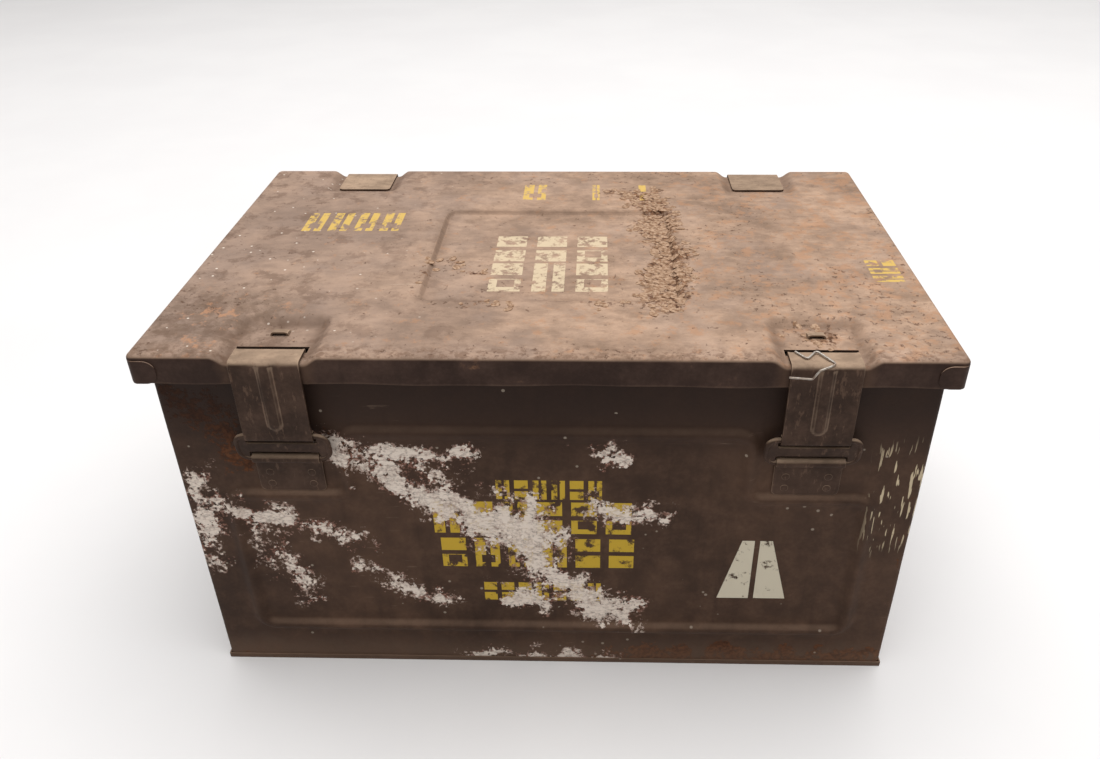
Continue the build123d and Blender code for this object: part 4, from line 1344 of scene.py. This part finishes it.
# %% Handles and wire
handle_low, handle_high = box_mm("right_handle")
bar = (handle_high[0] - handle_low[0]) / 2
handle_x = (handle_high[0] + handle_low[0]) / 2
HANDLE_BAR, HANDLE_END, HANDLE_HALF = 3.0, 66, 48
pivot_z, grip_z = handle_high[2] - HANDLE_BAR, handle_low[2] + HANDLE_BAR
for side, sign in SIDES.items():
    half_chain = [(HANDLE_END, pivot_z), (HANDLE_HALF, pivot_z), (HANDLE_HALF, grip_z)]
    chain = [(sign * handle_x, -y, z) for y, z in half_chain]
    chain += [(sign * handle_x, y, z) for y, z in half_chain[::-1]]
    handle = rod(f"{side}_drop_handle", chain, bar, 8.0, bare_steel)
    dress(handle, bare_steel, f"{side}_handle", [f"{side}_handle"])

seal_corner = np.array([strap_low[0], -lid_half[1] - 1.8, strap_high[2]])
twist = [(4, 14, 0.7), (9, 6, 0.9), (15, 14, 1.2), (23, 1, 0.9), (14, -1.9, -1.5), (11, -1.9, -6.5),
         (-1, -2.0, -5.5)]
WIRE_RADIUS, WIRE_BEND = 0.58, 1.4
seal = rod("right_seal_twist", [seal_corner + np.array(p, float) for p in twist], WIRE_RADIUS, WIRE_BEND,
           wire_steel, sides=10)
dress(seal, wire_steel, "right_strap", ["right_seal_wire"])

# %% [markdown]
# ## Scabs of rust and crust
# Colour alone leaves decay flat, so thin scabs stand up from the surface where rust and crust are worst. They are
# scattered by the "scatter scabs" tree, which reads the same painted zones as the materials do.

# %% Scabs for the lid and the front
g = Finish("rust scabs")
scab_tone = g.mix(g.smooth(0.35, 0.65, g.noise(2.0, 5)), (0.24, 0.135, 0.078), (0.46, 0.31, 0.21))
rust_scab = g.finish(scab_tone, 0.92, g.noise(0.8, 3) * 0.06)
g = Finish("crust flakes")
flake_tone = g.mix(g.smooth(0.35, 0.6, g.noise(1.8, 5)), (0.58, 0.48, 0.41), CRUST)
crust_flake = g.finish(flake_tone, 0.9, g.noise(0.8, 3) * 0.05)


def scabs(name, source, body, slot, keep, **inputs):
    """Scatter scabs over a piece, only on faces whose keep(centre, normal) is true."""
    mesh = bpy.data.meshes.new(name)
    spots = points_of(source)
    layer = source.data.attributes[inputs["Where"]]
    values = np.zeros(len(spots), np.float32)
    layer.data.foreach_get("value", values)
    faces = [list(p.vertices) for p in source.data.polygons if keep(np.array(p.center) / MM, np.array(p.normal))]
    mesh.from_pydata([tuple(p * MM) for p in spots], [], faces)
    made = bpy.data.objects.new(name, mesh)
    bpy.context.scene.collection.objects.link(made)
    paint_zone(made, inputs["Where"], values)
    use_tree(made, scatter_scabs, **inputs)
    freeze(made)
    mark_edges(made, 80)
    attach(made, body)
    print(name, "faces:", len(made.data.polygons))


scabs("lid_rust_scabs", lid_sheet, "lid", "lid_paint", lambda c, n: n[2] > 0.7 and c[2] > lid_top - 6,
      Density=1.9e5, Size=3.6 * MM, Where="rust", Least=0.45, Seed=4, Ceiling=(lid_top - 0.1) * MM,
      Material=rust_scab)
scabs("front_crust_flakes", front_wall, "crate", "body_paint",
      lambda c, n: n[1] < -0.5 and c[1] < front_y + 0.5,
      Density=0.9e5, Size=2.1 * MM, Where="crust", Least=0.62, Seed=9, Material=crust_flake)

# %% [markdown]
# ## The carried-over parts
# The base tray, the seal, the pins and the handle clips already have the right shape, so they stay and only get
# their finishes.

# %% Finishes for the parts that stay
kept = {"base_pan": body_paint, "lid_gasket": seal_rubber}
for side in SIDES:
    kept[f"{side}_hinge_pin"] = bare_steel
    kept[f"{side}_handle_front_clip"] = kept[f"{side}_handle_back_clip"] = fitting_paint
for node, material in kept.items():
    part = frame["nodes"][node]
    part.data.materials.clear()
    part.data.materials.append(material)
print("kept parts:", sorted(kept))

# %% [markdown]
# ## Studio
# A pale floor fades into a pale room. One big soft light hangs overhead, a little behind and to the right, so the
# dusty lid is bright and the front stays deep, and its large size keeps every shadow soft.

# %% Floor, lights and room
FLOOR_REACH = 9.0 / MM
corners = ((-1, -1), (1, -1), (1, 1), (-1, 1))
floor = new_piece("floor", [(x * FLOOR_REACH, y * FLOOR_REACH, 0) for x, y in corners], [[0, 1, 2, 3]])
floor.data.materials.append(floor_paint)


def soft_light(name, place, aim, size, power, colour=(1, 1, 1)):
    data = bpy.data.lights.new(name, "AREA")
    data.shape, data.size, data.size_y = "RECTANGLE", size[0], size[1]
    data.energy, data.color = power, colour
    lamp = bpy.data.objects.new(name, data)
    lamp.location = place
    lamp.rotation_euler = (Vector(aim) - Vector(place)).to_track_quat("-Z", "Y").to_euler()
    bpy.context.scene.collection.objects.link(lamp)


soft_light("overhead", (0.3, 0.35, 3.2), (0.2, 0.3, 0.0), (4.2, 4.2), 167)
soft_light("front fill", (-0.9, -1.9, 1.6), (0.0, 0.0, 0.1), (1.2, 0.9), 2.5)
world = bpy.data.worlds.new("room")
world.use_nodes = True
room = world.node_tree.nodes["Background"].inputs
room["Color"].default_value, room["Strength"].default_value = (1.0, 0.985, 0.97, 1.0), 0.30
bpy.context.scene.world = world
bpy.context.scene.view_settings.view_transform = "Standard"

# %% [markdown]
# ## Camera
# The camera stands almost square to the front and looks down by about a third of a right angle.

# %% Camera
azimuth, elevation, roll = math.radians(1.65), math.radians(32.26), math.radians(-0.48)
level = math.cos(elevation)
back = Vector((math.sin(azimuth) * level, -math.cos(azimuth) * level, math.sin(elevation)))
right = (-back).cross(Vector((0, 0, 1))).normalized()
up = right.cross(-back)
turned_right = right * math.cos(roll) + up * math.sin(roll)
turned_up = up * math.cos(roll) - right * math.sin(roll)
lens = bpy.data.cameras.new("camera")
lens.sensor_width, lens.lens, lens.shift_x = 36.0, 30.5, -0.0199
lens.clip_start = 0.01
camera = bpy.data.objects.new("camera", lens)
camera.matrix_world = Matrix.Translation((0.02648, -0.55268, 0.48320)) @ Matrix(
    (turned_right, turned_up, back)).transposed().to_4x4()
bpy.context.scene.collection.objects.link(camera)
bpy.context.scene.camera = camera
